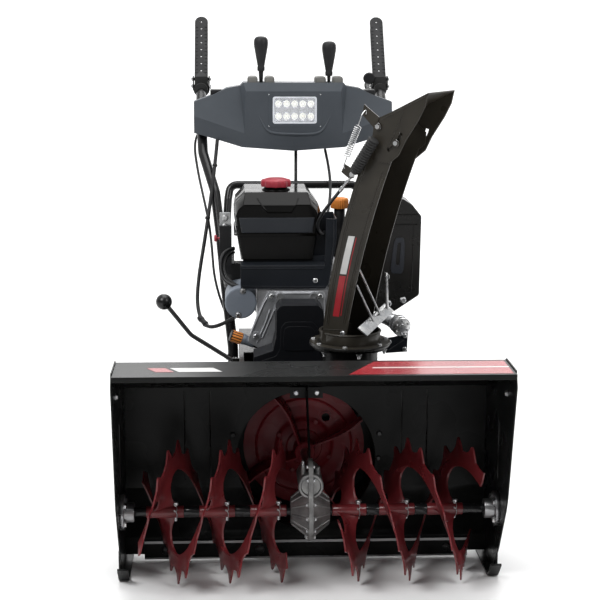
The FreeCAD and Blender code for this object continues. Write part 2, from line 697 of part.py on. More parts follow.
def fuel_tank():
    """Faceted tank over the engine, with the neck that the cap screws on."""
    corners = [
        ("-135", "584"), ("33", "584"), ("51", "692"), ("44", "716"), ("22", "742"), ("-122", "742"),
        ("-144", "716"), ("-151", "692"),
    ]
    tank = doc.addObject("PartDesign::Body", "tank_shell")
    last = pad(tank, outline(tank, "XZ_Plane", corners, "tank_outline"), 216, "tank_pad", back=True)
    last = rounded(tank, last, "XZ_Plane", corners[:2], 20, "tank_foot_round")
    last = rounded(tank, last, "XZ_Plane", corners[2:], 8, "tank_top_round")
    place(tank, 0, "lip + 660", 0)
    neck = rod("tank_neck", 24, 8, -52, "lip + 745", 740)
    publish(fuse("fuel_tank_body", [tank, neck]), "fuel_tank")


def starters():
    """Electric starter motor on the left and the recoil starter's cover at the back."""
    case = rod("starter_case", 36, 110, -136, "lip + 624", 495, "Y")
    nose = rod("starter_nose", 33, 6, -136, "lip + 618.5", 495, "Y")
    wire_post = rod("starter_post", 7, 16, -136, "lip + 660", 526)
    publish(fuse("starter_motor", [case, nose, wire_post]), "starter_motor")
    case = rod("recoil_case", 94, 44, "crank_across", "lip + 801", 480, "Y")
    dome = cone("recoil_dome", 94, 70, 12, "crank_across", "lip + 845", 480, "Y")
    guide = rod("recoil_guide", 5.3, 40, 58, "lip + 830", 480, "Y")
    room = rod("recoil_room", 91, 41, "crank_across", "lip + 801", 480, "Y")
    dome_room = cone("recoil_dome_room", 91, 68, 12, "crank_across", "lip + 842", 480, "Y")
    slots = []
    for turn in range(0, 360, 24):
        slot = doc.addObject("Part::Box", "cooling_slot")
        bind(slot, {"Length": 26, "Width": 30, "Height": 5})
        slot.Placement = FreeCAD.Placement(V(0, 0, 0), FreeCAD.Rotation(V(0, 1, 0), -turn))
        bind(slot, {"Placement.Base.x": f"crank_across + 30 * cos({turn} * 1 deg)",
                    "Placement.Base.y": "lip + 835",
                    "Placement.Base.z": f"480 + 30 * sin({turn} * 1 deg)"})
        slots.append(slot)
    blank = fuse("recoil_blank", [case, dome])
    publish(cut("recoil_housing", blank, [guide, room, dome_room] + slots), "recoil_housing")


def muffler_and_intake():
    """Muffler inside its guard on the right, carburettor and heater box on the left."""
    corners = [
        ("128", "467"), ("219", "467"), ("277", "506"), ("279", "690"), ("258", "716"), ("236", "730"),
        ("128", "730"),
    ]
    guard = plate("guard_shell", "XZ_Plane", corners, 122, rounds=((10, (1, 2, 3, 4, 5)),),
                  offset=(0, "lip + 650", 0), back=True)
    room = box("guard_room", (110, "lip + 653", 500), (272, "lip + 800", 700))
    can = box("muffler_can", (136, "lip + 665", 512), (262, "lip + 768", 690))
    inside = box("muffler_inside", (138, "lip + 667", 514), (260, "lip + 766", 688))
    pipe = rod("exhaust_pipe", 14, 32, 106, "lip + 700", 560, "X")
    stay = box("muffler_stay", (150, "lip + 652", 560), (250, "lip + 666", 566))
    muffler = cut("muffler", can, [inside])
    publish(fuse("muffler_guard", [cut("guard_cut", guard, [room]), muffler, pipe, stay]), "muffler_guard")
    runner = box("intake_runner", (-150, "lip + 745", 520), (-98, "lip + 785", 560))
    bowl = rod("float_bowl", 20, 40, -152, "lip + 765", 506)
    heater_box = box("heater_box", (-184, "lip + 742", 560), (-156, "lip + 790", 655))
    bridge = box("heater_bridge", (-184, "lip + 745", 540), (-130, "lip + 785", 566))
    publish(fuse("carburettor_box", [runner, bowl, heater_box, bridge]), "carburettor_box")


def oil_fittings():
    """Tall filler tube with its screw cap, and the grey drain neck with its plug."""
    route = [at_depth(101, 792, 690), at_depth(101, 792, 640), at_depth(99, 774, 585),
             at_depth(92, 773.5, 510), at_depth(74, 773.5, 455), at_depth(48, 773.5, 430)]
    block = Part.makeBox(160, 190, 150, at_depth(-98, 600, size("frame_high")))
    filler = feature("filler_tube", swept(route, 13, 60).cut(block))
    drain = feature("drain_neck", bar(at_depth(-88, 618, 397), at_depth(-136, 614, 413), 11).cut(block))
    plug = feature("drain_plug", bar(at_depth(-136, 614, 413), at_depth(-160, 612, 422), 13))
    publish(group("oil_necks", [filler, drain, plug]), "oil_necks")
    skirt = rod("cap_skirt", 21.5, 22, 101, "lip + 792", 690.4)
    crown = cone("cap_crown", 21.5, 18, 4, 101, "lip + 792", 712.4)
    publish(fuse("oil_filler_cap", [skirt, crown]), "oil_filler_cap")


def fuel_cap():
    skirt = rod("fuel_cap_skirt", 36.5, 15, -52, "lip + 745", 748.4)
    crown = cone("fuel_cap_crown", 36.5, 27, 5, -52, "lip + 745", 763.4)
    publish(fuse("fuel_cap", [skirt, crown]), "fuel_cap")


def small_controls():
    """Red choke knob beside the intake box and the pull handle of the recoil starter."""
    stem = rod("choke_stem", 3, 6, -190.4, "lip + 752", 625, "X")
    knob = rod("choke_disc", 8, 7, -197, "lip + 752", 625, "X")
    publish(fuse("choke_knob", [stem, knob]), "choke_knob")
    cord = rod("pull_stub", 5, 36, 58, "lip + 834", 480, "Y")
    handle = rod("pull_bar", 9, 72, 24, "lip + 872", 480, "X")
    publish(fuse("recoil_handle", [cord, handle]), "recoil_handle")


# ---------------------------------------------------------------- handlebars and console

def handlebar_route(side):
    """Centre line of one handlebar tube; side is -1 on the left and +1 on the right."""
    points = [(154, 735, 250), (154, 752, 360), (171, 805, 505), (183, 880, 620), (196, 945, 712),
              (226, 1025, 800), (232, 1112, 905), (232, 1175, 950), (232, 1412, 950)]
    return [at_depth(side * x, depth, z) for x, depth, z in points]


def handlebars():
    """Bent tubes from the frame to the grips, with the lever brackets, and the cross tube."""
    for node, side in (("handlebar_left", -1), ("handlebar_right", 1)):
        route = handlebar_route(side)
        tube = swept(route, size("tube_radius"), 90)
        hollow = swept(route, size("tube_radius - tube_wall"), 90)
        across = side * size("grip_across")
        ears = [Part.makeBox(3, 26, 34, at_depth(across + offset, 1186, size("grip_height")))
                for offset in (-22, 19)]
        strap = Part.makeBox(44, 26, 3, at_depth(across - 22, 1186, size("grip_height") - 1.5))
        pin = Part.makeCylinder(4, 44, at_depth(across - 22, 1199, size("grip_height") + 26), V(1, 0, 0))
        whole = tube.fuse(ears + [strap, pin]).cut(hollow)
        publish(feature(node, whole.removeSplitter()), node)
    cross = [at_depth(-170, 912, 600), at_depth(-164, 968, 690), at_depth(-158, 980, 725),
             at_depth(158, 980, 725), at_depth(164, 968, 690), at_depth(170, 912, 600)]
    publish(feature("handlebar_crossbar", swept(cross, 10, 34)), "handlebar_crossbar")
    grips = []
    for side, across in (("left", "-grip_across"), ("right", "grip_across")):
        sleeve = rod("grip_sleeve_" + side, "grip_radius", "overall_length - 1216", across,
                     "lip + 1216", "grip_height", "Y")
        bore = rod("grip_bore_" + side, "tube_radius", 196, across, "lip + 1216", "grip_height", "Y")
        grips.append(cut("grip_" + side, sleeve, [bore]))
    publish(group("grips", grips), "grips")


def console():
    """Wide plastic console: a hollow shell open behind, with two lever slots and a lamp recess."""
    half = [("0", "806"), ("90", "812"), ("170", "832"), ("200", "846"), ("249", "848"), ("249", "928"),
            ("195", "952"), ("160", "962"), ("133", "976")]
    corners = half + [(f"-({across})", up) for across, up in reversed(half[1:])]
    shell = plate("console_shell", "XZ_Plane", corners, "console_deep", rounds=((14, (4, 5, 12, 13)),),
                  offset=(0, "lip + console_front", 0), back=True)
    inner_half = [("0", "811"), ("88", "816"), ("168", "837"), ("198", "851"), ("244", "853"),
                  ("244", "925"), ("193", "948"), ("158", "958"), ("131", "972")]
    inner = inner_half + [(f"-({across})", up) for across, up in reversed(inner_half[1:])]
    room = plate("console_room", "XZ_Plane", inner, "console_deep", rounds=((10, (4, 5, 12, 13)),),
                 offset=(0, "lip + console_front + 4", 0), back=True)
    lamp_hole = box("lamp_hole", (-64, "lip + console_front - 5", 872), (68, "lip + console_front + 10", 948))
    slots = [box("lever_slot", (across - 8, "lip + 1009.5", 960), (across + 8, "lip + 1076.5", 990))
             for across in (-80, 90)]
    notches = [box("tube_notch", (low, "lip + 1036", 840), (low + 34, "lip + 1090", 862))
               for low in (-244, 210)]
    bar_across = rod("lever_bar", 4, 490, -245, "lip + 1043", 902, "X")
    trimmed = cut("console_cut", shell, [room, lamp_hole] + slots + notches)
    publish(fuse("console_body", [trimmed, bar_across]), "console")


def headlamp():
    """Lamp tray with two rows of five reflectors, and its clear lens."""
    tray = box("lamp_tray", (-64, "lip + console_front - 2", 872), (68, "lip + console_front + 26", 948))
    wells = [cone("lamp_well", 9, 4, 14, -38 + 20 * column, "lip + console_front + 1", 894 + 30 * row, "Y")
             for column in range(5) for row in range(2)]
    recess = box("lamp_recess", (-50, "lip + console_front - 3", 878), (54, "lip + console_front + 1.2", 940))
    publish(cut("headlamp_tray", tray, [recess] + wells), "headlamp")
    lens = box("lens_pane", (-50, "lip + console_front - 2", 878), (54, "lip + console_front + 0.8", 940))
    publish(lens, "headlamp_lens")


def levers():
    """Speed lever and chute lever: a ring on the console's bar, a rod and a tapered knob."""
    for node, across, top in (("speed_lever", -80, 1089), ("chute_lever", 90, 1077)):
        ring = rod(node + "_ring", 8, 12, across - 6, "lip + 1043", 902, "X")
        hole = rod(node + "_hole", "4 + running_gap", 20, across - 10, "lip + 1043", 902, "X")
        stick = rod(node + "_stick", 4, top - 950, across, "lip + 1043", 908)
        neck = cone(node + "_neck", 6, 9, 27, across, "lip + 1043", top - 109)
        head = cone(node + "_head", 9, 18, 62, across, "lip + 1043", top - 82)
        crown = cone(node + "_crown", 18, 9, 20, across, "lip + 1043", top - 20)
        publish(cut(node, fuse(node + "_blank", [ring, stick, neck, head, crown]), [hole]), node)


def clutch_levers():
    """Ribbed paddles over the grips; they stand up when released and close onto the grips."""
    for side, across in (("left", "-grip_across"), ("right", "grip_across")):
        length, rise = size("paddle_length"), math.radians(size("paddle_rise"))
        blade = Part.makeBox(34, length, 3, V(-17, 0, 4))
        webs = [Part.makeBox(2.5, length - 18, 9, V(start, 0, -4)) for start in (-17, 14.5)]
        eyes = [Part.makeCylinder(9, 2.5, V(start, 0, 0), V(1, 0, 0)) for start in (-17, 14.5)]
        holes = [Part.makeCylinder(2.2, 20, V(0, 22 + 22 * row, -5)) for row in range(8)]
        bore = Part.makeCylinder(4 + size("running_gap"), 60, V(-30, 0, 0), V(1, 0, 0))
        tip = Part.makeCylinder(17, 3, V(0, length, 4))
        paddle = blade.fuse(webs + eyes + [tip]).cut(holes + [bore])
        paddle.rotate(V(0, 0, 0), V(1, 0, 0), math.degrees(rise))
        node = "clutch_lever_" + side
        publish(feature(node, paddle.removeSplitter(), across, "lip + 1199", "grip_height + 26"), node)


def lock_lever():
    """Bent rod with a ball knob that locks the drive wheels together."""
    ring = Part.makeCylinder(10, 12, at_depth(-150, 576, 366), V(0, 1, 0))
    hole = Part.makeCylinder(5 + size("running_gap"), 40, at_depth(-150, 560, 366), V(0, 1, 0))
    foot, bend, knob = at_depth(-156, 582, 370), at_depth(-250, 600, 426), at_depth(-311, 620, 499)
    ball = Part.makeSphere(18.5, knob, knob - bend)
    whole = ring.fuse([swept([foot, bend, knob], 5, 40), ball]).cut(hole)
    publish(feature("lock_lever", whole.removeSplitter()), "lock_lever")


# ---------------------------------------------------------------- chute

def chute_profile(inset):
    """Side view of the chute in its own frame: X forward, Z up; inset moves the back sheet in."""
    back = Part.Arc(V(-38 + inset, 0, 455), V(-5 + inset, 0, 650), V(86 + inset, 0, 922)).toShape()
    front = Part.Arc(V(128, 0, 868), V(66, 0, 680), V(22, 0, 478)).toShape()
    top = Part.makePolygon([V(86 + inset, 0, 922), V(88 + inset, 0, 932), V(112, 0, 932),
                            V(144, 0, 904), V(142, 0, 880), V(128, 0, 868)])
    foot = Part.makePolygon([V(22, 0, 478), V(22, 0, 455), V(-38 + inset, 0, 455)])
    return Part.Wire(back.Edges + top.Edges + front.Edges + foot.Edges)


def turned(name, shape):
    """Feature drawn about the chute axis and turned to the heading the chute has at rest."""
    return feature(name, shape, "chute_across", "lip + chute_depth", 0, "chute_turn")


def chute():
    """Curved channel with its ring, guard rods and deflector, on the discharge neck."""
    half, gauge = size("chute_half"), size("chute_gauge")
    outer = Part.Face(chute_profile(0)).extrude(V(0, 2 * half, 0))
    outer.translate(V(0, -half, 0))
    inner = Part.Face(chute_profile(gauge)).extrude(V(0, 2 * half - 2 * gauge, 0))
    inner.translate(V(0, -half + gauge, 0))
    front_cut = inner.copy()
    front_cut.translate(V(20, 0, 0))
    channel = outer.cut([inner, front_cut])
    collar = Part.makeCylinder(65.5, 26, V(0, 0, 454)).cut(Part.makeCylinder(63, 26, V(0, 0, 454)))
    pivot = V(size("pivot_across"), 0, size("pivot_height"))
    bolt_angle = math.radians(-38)
    guide = pivot + V(math.cos(bolt_angle), 0, math.sin(bolt_angle)) * size("slot_radius")
    bolts = []
    for spot, radius in ((pivot, 4), (guide, 3)):
        for sign in (-1, 1):
            way = V(0, sign, 0)
            bolts.append(Part.makeCylinder(radius, 11, spot + way * (half - 2), way))
            bolts.append(Part.makeCylinder(7, 4, spot + way * (half + 7.5), way))
    publish(turned("chute", channel.fuse([collar] + bolts).removeSplitter()), "chute")
    ring = rod("ring_blank", "neck_radius + 27", 6.5, "chute_across", "lip + chute_depth", "neck_top + 0.5")
    hole = rod("ring_hole", "neck_radius - 1", 20, "chute_across", "lip + chute_depth", "neck_top - 5")
    publish(cut("chute_ring", ring, [hole]), "chute_ring")
    strip = Part.makeBox(26, 130, 3, V(-13, -65, -1.5))
    strip.rotate(V(0, 0, 0), V(0, 1, 0), 38)
    strip.rotate(V(0, 0, 0), V(1, 0, 0), 14)
    strip.translate(V(62, 0, 507))
    rods = [bar(V(48, -54, 622), V(62, 21.3, 512), 2.5), bar(V(42, -54, 589), V(62, -11.6, 504), 2.5),
            bar(V(58, 53.5, 600), V(62, 53.4, 520), 3.5)]
    publish(turned("chute_guard", strip.fuse(rods)), "chute_guard")
    spring = bar(V(30, -80, 860), V(56, -80, 922), 7.5)
    hooks = [bar(V(25, -80, 838), V(30, -80, 860), 1.5), bar(V(56, -80, 922), V(64, -80, 950), 1.5)]
    publish(turned("deflector_spring", spring.fuse(hooks)), "deflector_spring")


def deflector():
    """Hinged hood over the top of the chute: two cheeks, a roof and the spring tab."""
    half, gauge = size("chute_half"), size("chute_gauge")
    outside = half + 2 + gauge
    roof_line = [V(97, 0, 941), V(117, 0, 950), V(203, 0, 993)]
    cheek_line = roof_line + [V(197, 0, 966), V(182, 0, 937), V(155, 0, 896), V(140, 0, 866),
                              V(118, 0, 848), V(96, 0, 850), V(82, 0, 870), V(80, 0, 900), V(84, 0, 932)]
    cheek = Part.Face(Part.makePolygon(cheek_line + cheek_line[:1]))
    low = gauge * V(0.447, 0, -0.894)
    under = [point + low for point in reversed(roof_line)]
    roof = Part.Face(Part.makePolygon(roof_line + under + roof_line[:1]))
    solid = roof.extrude(V(0, 2 * outside, 0))
    solid.translate(V(0, -outside, 0))
    sides = []
    for start in (-outside, outside - gauge):
        side = cheek.extrude(V(0, gauge, 0))
        side.translate(V(0, start, 0))
        sides.append(side)
    tab_line = [V(58, 0, 945), V(62, 0, 966), V(96, 0, 941), V(88, 0, 915)]
    tab = Part.Face(Part.makePolygon(tab_line + tab_line[:1])).extrude(V(0, gauge, 0))
    tab.translate(V(0, -outside - gauge, 0))
    pivot = V(size("pivot_across"), 0, size("pivot_height"))
    bore = Part.makeCylinder(4 + size("running_gap"), 200, pivot - V(0, 100, 0), V(0, 1, 0))
    slot = guide_slot(pivot)
    hood = solid.fuse(sides + [tab]).cut([bore, slot])
    publish(turned("deflector", hood.removeSplitter()), "deflector")


def guide_slot(pivot):
    """Arc-shaped slot through both cheeks, centred on the pivot."""
    radius, half_width = size("slot_radius"), 3.6
    ends = [math.radians(angle) for angle in (-66, -12)]
    arcs = []
    for distance in (radius - half_width, radius + half_width):
        spots = [pivot + V(math.cos(a), 0, math.sin(a)) * distance for a in (ends[0], sum(ends) / 2, ends[1])]
        arcs.append(spots)
    inner, outer = arcs
    edges = [Part.Arc(*inner).toShape(), Part.makeLine(inner[2], outer[2]),
             Part.Arc(*reversed(outer)).toShape(), Part.makeLine(outer[0], inner[0])]
    tool = Part.Face(Part.Wire(edges)).extrude(V(0, 200, 0))
    tool.translate(V(0, -100, 0))
    return tool


def chute_motor():
    """Motor that turns the chute, on a bent plate bolted to the neck flange."""
    body = bar(at_depth(178, 505, 486), at_depth(208, 462, 478), 15)
    head = bar(at_depth(208, 462, 478), at_depth(214, 440, 474), 21)
    hexagon = bar(at_depth(214, 440, 474), at_depth(216, 433, 473), 10)
    drive = feature("motor_body", body.fuse([head, hexagon]).removeSplitter())
    post = box("motor_plate", (180, "lip + 446", 415), (228, "lip + 450", 462))
    shelf = box("motor_shelf", (150, "lip + 446", 433), (184, "lip + 490", 439))
    publish(group("chute_motor", [drive, fuse("motor_bracket", [post, shelf])]), "chute_motor")


# ---------------------------------------------------------------- cables and fasteners

def cables():
    """Held cables: clutch cables, shift rod, wiring loop and the deflector's control cable."""
    left = [at_depth(-238, 1096, 845), at_depth(-250, 1040, 830), at_depth(-240, 1000, 760),
            at_depth(-222, 930, 690), at_depth(-206, 880, 620), at_depth(-196, 800, 480),
            at_depth(-150, 790, 392)]
    harness = [at_depth(-190, 1012, 834), at_depth(-196, 968, 775), at_depth(-206, 918, 700),
               at_depth(-220, 860, 610), at_depth(-236, 820, 520), at_depth(-240, 776, 460),
               at_depth(-226, 730, 424), at_depth(-196, 690, 420), at_depth(-150, 668, 452)]
    shift = [at_depth(8, 1050, 805), at_depth(6, 1000, 640), at_depth(4, 930, 450), at_depth(2, 872, 330)]
    right = [V(-point.x, point.y, point.z) for point in left]
    strands = []
    for name, route, radius in (("clutch_cable_left", left, 3), ("wiring_loop", harness, 4.5),
                                ("shift_rod", shift, 4), ("clutch_cable_right", right, 3)):
        strands.append(feature(name, swept(route, radius, 60)))
    publish(group("control_cables", strands), "control_cables")
    route = [at_depth(82, 1050, 806), at_depth(88, 965, 765), at_depth(86, 880, 715),
             at_depth(72, 800, 668), at_depth(62, 720, 645), at_depth(50, 640, 650),
             at_depth(34, 560, 678), at_depth(34, 470, 712), at_depth(50, 380, 755),
             at_depth(66, 325, 786)]
    publish(feature("deflector_cable", swept(route, 3.5, 80)), "deflector_cable")


def bolt(x, depth, z, axis, head=6.5):
    """Hexagon flange bolt head seen from the outside, standing on a face."""
    return rod("bolt_head", head, 5, x, f"lip + {depth}", z, axis)


def fasteners():
    """Bolt heads of the housing, drum, neck, engine and muffler guard."""
    heads = []
    for angle in (45, 135, 225, 315):
        dx, dz = 27 * math.cos(math.radians(angle)), 27 * math.sin(math.radians(angle))
        for start in (-377, 372):
            heads.append(bolt(start, 175 + dx, 150 + dz, "X"))
    for across in (-300, -100, 100, 300):
        heads.append(bolt(across, 287.4, 24, "Y"))
    for across in (-22, 22):
        heads.append(bolt(across, 323.3, 358, "Y", 5.5))
    for angle in (100, 160, 220, 280, 340):
        dx, dy = 76 * math.cos(math.radians(angle)), 76 * math.sin(math.radians(angle))
        heads.append(bolt(97 + dx, 400 + dy, 436, "Z", 6))
    for across, up in ((-102, 424), (-66, 517), (-44, 517), (28, 517), (44, 516)):
        heads.append(bolt(across, 584, up, "Y"))
    heads.append(bolt(34, 607, 548, "Y"))
    for across, up in ((240, 494), (206, 486)):
        heads.append(bolt(across, 645, up, "Y"))
    publish(group("hex_bolts", heads), "hex_bolts")


def build():
    auger_housing()
    side_plates()
    scraper_bar()
    skid_shoes()
    auger_bearings()
    impeller_drum()
    auger()
    gearbox()
    impeller()
    belt_drive()
    belt_cover()
    tractor_frame()
    wheels()
    engine_core()
    fuel_tank()
    starters()
    muffler_and_intake()
    oil_fittings()
    fuel_cap()
    small_controls()
    handlebars()
    console()
    headlamp()
    levers()
    clutch_levers()
    lock_lever()
    chute()
    deflector()
    chute_motor()
    cables()
    fasteners()
    doc.recompute()


def write_out():
    """Check every object, then write one STEP file for each sub-part."""
    for item in doc.Objects:
        assert not {"Invalid", "Error"} & set(item.State), item.Name + " failed to build"
    os.makedirs("parts", exist_ok=True)
    whole = FreeCAD.BoundBox()
    for item in parts:
        shape = item.Shape
        assert not shape.isNull() and shape.isValid(), item.Label + " is not valid"
        whole.add(shape.BoundBox)
        shape.exportStep(f"parts/{item.Label}.step")
        print(f"{item.Label:22s} {len(shape.Solids)} solids {shape.Volume / 1000:9.1f} cm3")
    print(len(parts), "parts", whole)


build()
write_out()
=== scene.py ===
"""Looks of the two-stage snowblower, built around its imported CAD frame.

Pieces are drawn in millimetres (x across, y back from the origin, z up) and scaled to metres
when they become objects. LIP is the Y of the front edge of the housing, and at() counts depths from it.
"""
import math

import bmesh
import bpy
from mathutils import Matrix, Vector


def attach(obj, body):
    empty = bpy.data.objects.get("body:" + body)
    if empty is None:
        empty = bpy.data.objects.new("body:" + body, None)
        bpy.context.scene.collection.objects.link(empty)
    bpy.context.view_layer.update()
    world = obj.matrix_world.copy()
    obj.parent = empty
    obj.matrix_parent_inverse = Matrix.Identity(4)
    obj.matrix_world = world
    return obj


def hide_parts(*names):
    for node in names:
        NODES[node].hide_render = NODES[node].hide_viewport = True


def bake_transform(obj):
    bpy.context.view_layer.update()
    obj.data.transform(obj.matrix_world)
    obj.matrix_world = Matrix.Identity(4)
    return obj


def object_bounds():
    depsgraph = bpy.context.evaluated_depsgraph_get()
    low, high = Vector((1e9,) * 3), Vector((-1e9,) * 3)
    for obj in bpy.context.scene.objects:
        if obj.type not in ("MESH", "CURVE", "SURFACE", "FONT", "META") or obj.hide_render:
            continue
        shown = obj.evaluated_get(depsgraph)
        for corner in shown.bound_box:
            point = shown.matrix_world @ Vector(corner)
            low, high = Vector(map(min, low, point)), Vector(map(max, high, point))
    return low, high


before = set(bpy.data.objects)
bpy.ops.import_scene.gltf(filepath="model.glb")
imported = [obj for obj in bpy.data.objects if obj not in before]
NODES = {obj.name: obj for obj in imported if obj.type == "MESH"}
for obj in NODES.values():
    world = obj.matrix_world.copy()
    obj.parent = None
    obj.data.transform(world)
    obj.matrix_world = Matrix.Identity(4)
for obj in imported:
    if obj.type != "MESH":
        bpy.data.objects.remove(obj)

CAD_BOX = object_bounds()
MM = 0.001
LIP = CAD_BOX[0].y / MM
# (depth, height) of the auger's and the wheels' axes, and (x, depth) of the chute's.
AUGER_LINE, WHEEL_LINE, CHUTE_SPOT = (175, 150), (700, 165), (97, 400)
# (depth, height) of the bar that the console's levers swing on, and of the clutch levers' pivots.
LEVER_BAR, PIVOT_LINE = (1043, 902), (1199, 976)
CHUTE_HEADING = math.radians(-32)
FRONT, BACK, RIGHT, UP = (0, -1, 0), (0, 1, 0), (1, 0, 0), (0, 0, 1)
SIDES = (-1, 1)


# ---------------------------------------------------------------- materials

def new_material(name, metallic=0.0, rough=0.5, coat=0.0, sheen=0.0, shine=0.3):
    """Principled material with its constant values set; returns it with the tools to wire it."""
    material = bpy.data.materials.new(name)
    material.use_nodes = True
    tree = material.node_tree
    shader = tree.nodes["Principled BSDF"]
    shader.inputs["Metallic"].default_value = metallic
    shader.inputs["Roughness"].default_value = rough
    shader.inputs["Coat Weight"].default_value = coat
    shader.inputs["Coat Roughness"].default_value = 0.12
    shader.inputs["Specular IOR Level"].default_value = shine
    shader.inputs["Sheen Weight"].default_value = sheen
    return material, tree.nodes, tree.links.new, shader


def noise(nodes, link, scale, detail=4.0, rough=0.55, stretch=(1, 1, 1)):
    """Noise in object space, stretched along an axis where the grain runs that way."""
    where = nodes.new("ShaderNodeTexCoord")
    mapping = nodes.new("ShaderNodeMapping")
    mapping.inputs["Scale"].default_value = stretch
    texture = nodes.new("ShaderNodeTexNoise")
    texture.inputs["Scale"].default_value = scale
    texture.inputs["Detail"].default_value = detail
    texture.inputs["Roughness"].default_value = rough
    link(where.outputs["Object"], mapping.inputs["Vector"])
    link(mapping.outputs["Vector"], texture.inputs["Vector"])
    return texture.outputs["Fac"]


def ramp(nodes, link, value, stops):
    """Colour ramp; stops are (position, colour) pairs in rising order."""
    item = nodes.new("ShaderNodeValToRGB")
    elements = item.color_ramp.elements
    while len(elements) < len(stops):
        elements.new(0.5)
    for element, (position, colour) in zip(elements, stops):
        element.position = position
        element.color = (*colour, 1)
    link(value, item.inputs["Fac"])
    return item.outputs["Color"]


def spread(nodes, link, value, low, high, start=0.3, end=0.7):
    """Value from start to end mapped onto low..high; the usual noise runs from 0.3 to 0.7."""
    item = nodes.new("ShaderNodeMapRange")
    for socket, number in (("From Min", start), ("From Max", end), ("To Min", low), ("To Max", high)):
        item.inputs[socket].default_value = number
    link(value, item.inputs["Value"])
    return item.outputs["Result"]


def bump(nodes, link, shader, value, strength, distance):
    """Relief from a value, felt by the shader's normal only."""
    item = nodes.new("ShaderNodeBump")
    item.inputs["Strength"].default_value = strength
    item.inputs["Distance"].default_value = distance
    link(value, item.inputs["Height"])
    link(item.outputs["Normal"], shader.inputs["Normal"])


def finish_of(name, dark, light, rough, metallic=0.0, coat=0.0, sheen=0.0, shine=0.3, drift=7, grain=500,
              peel=0.08, stretch=(1, 1, 1), worn=None):
    """One finish: colour drifts from dark to light, gloss is cloudy, and fine grain breaks the light.

    worn is the colour that shows through in small scuffed spots.
    """
    material, nodes, link, shader = new_material(name, metallic, rough[0], coat, sheen, shine)
    stops = [(0.32, dark), (0.68, light)]
    if worn:
        stops += [(0.735, light), (0.75, worn)]
    link(ramp(nodes, link, noise(nodes, link, drift, 7, 0.62, stretch), stops), shader.inputs["Base Color"])
    wear = noise(nodes, link, drift * 1.7, 3, 0.5, stretch)
    link(spread(nodes, link, wear, *rough), shader.inputs["Roughness"])
    bump(nodes, link, shader, noise(nodes, link, grain, 3, 0.6, stretch), peel, 0.0005)
    return material


BRUSHED_X = (0.12, 1, 1)
BLACK_PAINT = finish_of("black_paint", (0.0045, 0.0045, 0.0045), (0.0105, 0.01, 0.009), (0.24, 0.34),
                        coat=0.12, shine=0.2)
HOUSING_PAINT = finish_of("housing_paint", (0.0045, 0.005, 0.005), (0.012, 0.0122, 0.0118), (0.22, 0.34),
                          shine=0.09, drift=4)
CHUTE_PAINT = finish_of("chute_paint", (0.018, 0.016, 0.0125), (0.033, 0.029, 0.0225), (0.26, 0.38),
                        coat=0.15, shine=0.25, peel=0.12, worn=(0.04, 0.036, 0.028))
TUBE_PAINT = finish_of("tube_paint", (0.004, 0.004, 0.0045), (0.009, 0.009, 0.0095), (0.22, 0.34),
                       coat=0.15, shine=0.25)
AUGER_RED = finish_of("auger_red", (0.085, 0.009, 0.011), (0.145, 0.017, 0.02), (0.26, 0.42), coat=0.25,
                      shine=0.3, drift=11, worn=(0.05, 0.012, 0.012))
FAN_RED = finish_of("fan_red", (0.13, 0.009, 0.014), (0.2, 0.019, 0.024), (0.2, 0.32), coat=0.04,
                    shine=0.14, drift=9)
CAST_ALLOY = finish_of("cast_alloy", (0.25, 0.25, 0.26), (0.42, 0.42, 0.43), (0.38, 0.54), metallic=0.85,
                       drift=24, grain=900, peel=0.4)
GEAR_ALLOY = finish_of("gear_alloy", (0.12, 0.12, 0.12), (0.26, 0.255, 0.25), (0.34, 0.5), metallic=0.8,
                       drift=26, grain=700, peel=0.5)
COVER_ALLOY = finish_of("cover_alloy", (0.42, 0.43, 0.45), (0.6, 0.61, 0.635), (0.28, 0.42), metallic=0.8,
                        drift=20, grain=900, peel=0.3)
ZINC = finish_of("zinc", (0.34, 0.35, 0.37), (0.58, 0.58, 0.57), (0.22, 0.4), metallic=0.95, drift=60)
STEEL = finish_of("steel", (0.22, 0.22, 0.23), (0.4, 0.4, 0.4), (0.25, 0.42), metallic=0.95, drift=40,
                  stretch=BRUSHED_X)
BRASS = finish_of("brass", (0.4, 0.26, 0.08), (0.6, 0.42, 0.15), (0.25, 0.4), metallic=0.95, drift=40)
BLACK_PLASTIC = finish_of("black_plastic", (0.008, 0.008, 0.009), (0.015, 0.015, 0.016), (0.42, 0.6),
                          shine=0.25, grain=1400, peel=0.25)
COVER_PLASTIC = finish_of("cover_plastic", (0.003, 0.0035, 0.005), (0.0065, 0.007, 0.009), (0.42, 0.56),
                          shine=0.2, grain=900, peel=0.2)
TANK_PLASTIC = finish_of("tank_plastic", (0.0012, 0.0012, 0.0012), (0.003, 0.0028, 0.0025), (0.1, 0.18),
                         coat=0.03, shine=0.1, drift=5, peel=0.03)
# Bluish plastic, lighter than the tank: on the tank's band this tone is a painted highlight; the muffler
# guard's plate shares it.
BAND_PLASTIC = finish_of("band_plastic", (0.008, 0.010, 0.014), (0.014, 0.017, 0.022), (0.26, 0.36),
                         coat=0.15)
CONSOLE_PLASTIC = finish_of("console_plastic", (0.038, 0.045, 0.054), (0.053, 0.061, 0.071), (0.44, 0.58),
                            shine=0.3, drift=5, grain=1600, peel=0.22)
GATE_PLASTIC = finish_of("gate_plastic", (0.085, 0.085, 0.08), (0.12, 0.118, 0.11), (0.5, 0.65),
                         grain=1400)
SHROUD_PAINT = finish_of("shroud_paint", (0.006, 0.0075, 0.010), (0.010, 0.012, 0.016), (0.34, 0.46),
                         coat=0.1, shine=0.25)
STARTER_PAINT = finish_of("starter_paint", (0.16, 0.185, 0.22), (0.22, 0.245, 0.285), (0.4, 0.55),
                          metallic=0.35, grain=1100, peel=0.3)
RIM_PAINT = finish_of("rim_paint", (0.25, 0.26, 0.28), (0.36, 0.37, 0.39), (0.3, 0.42), metallic=0.3,
                      coat=0.3)
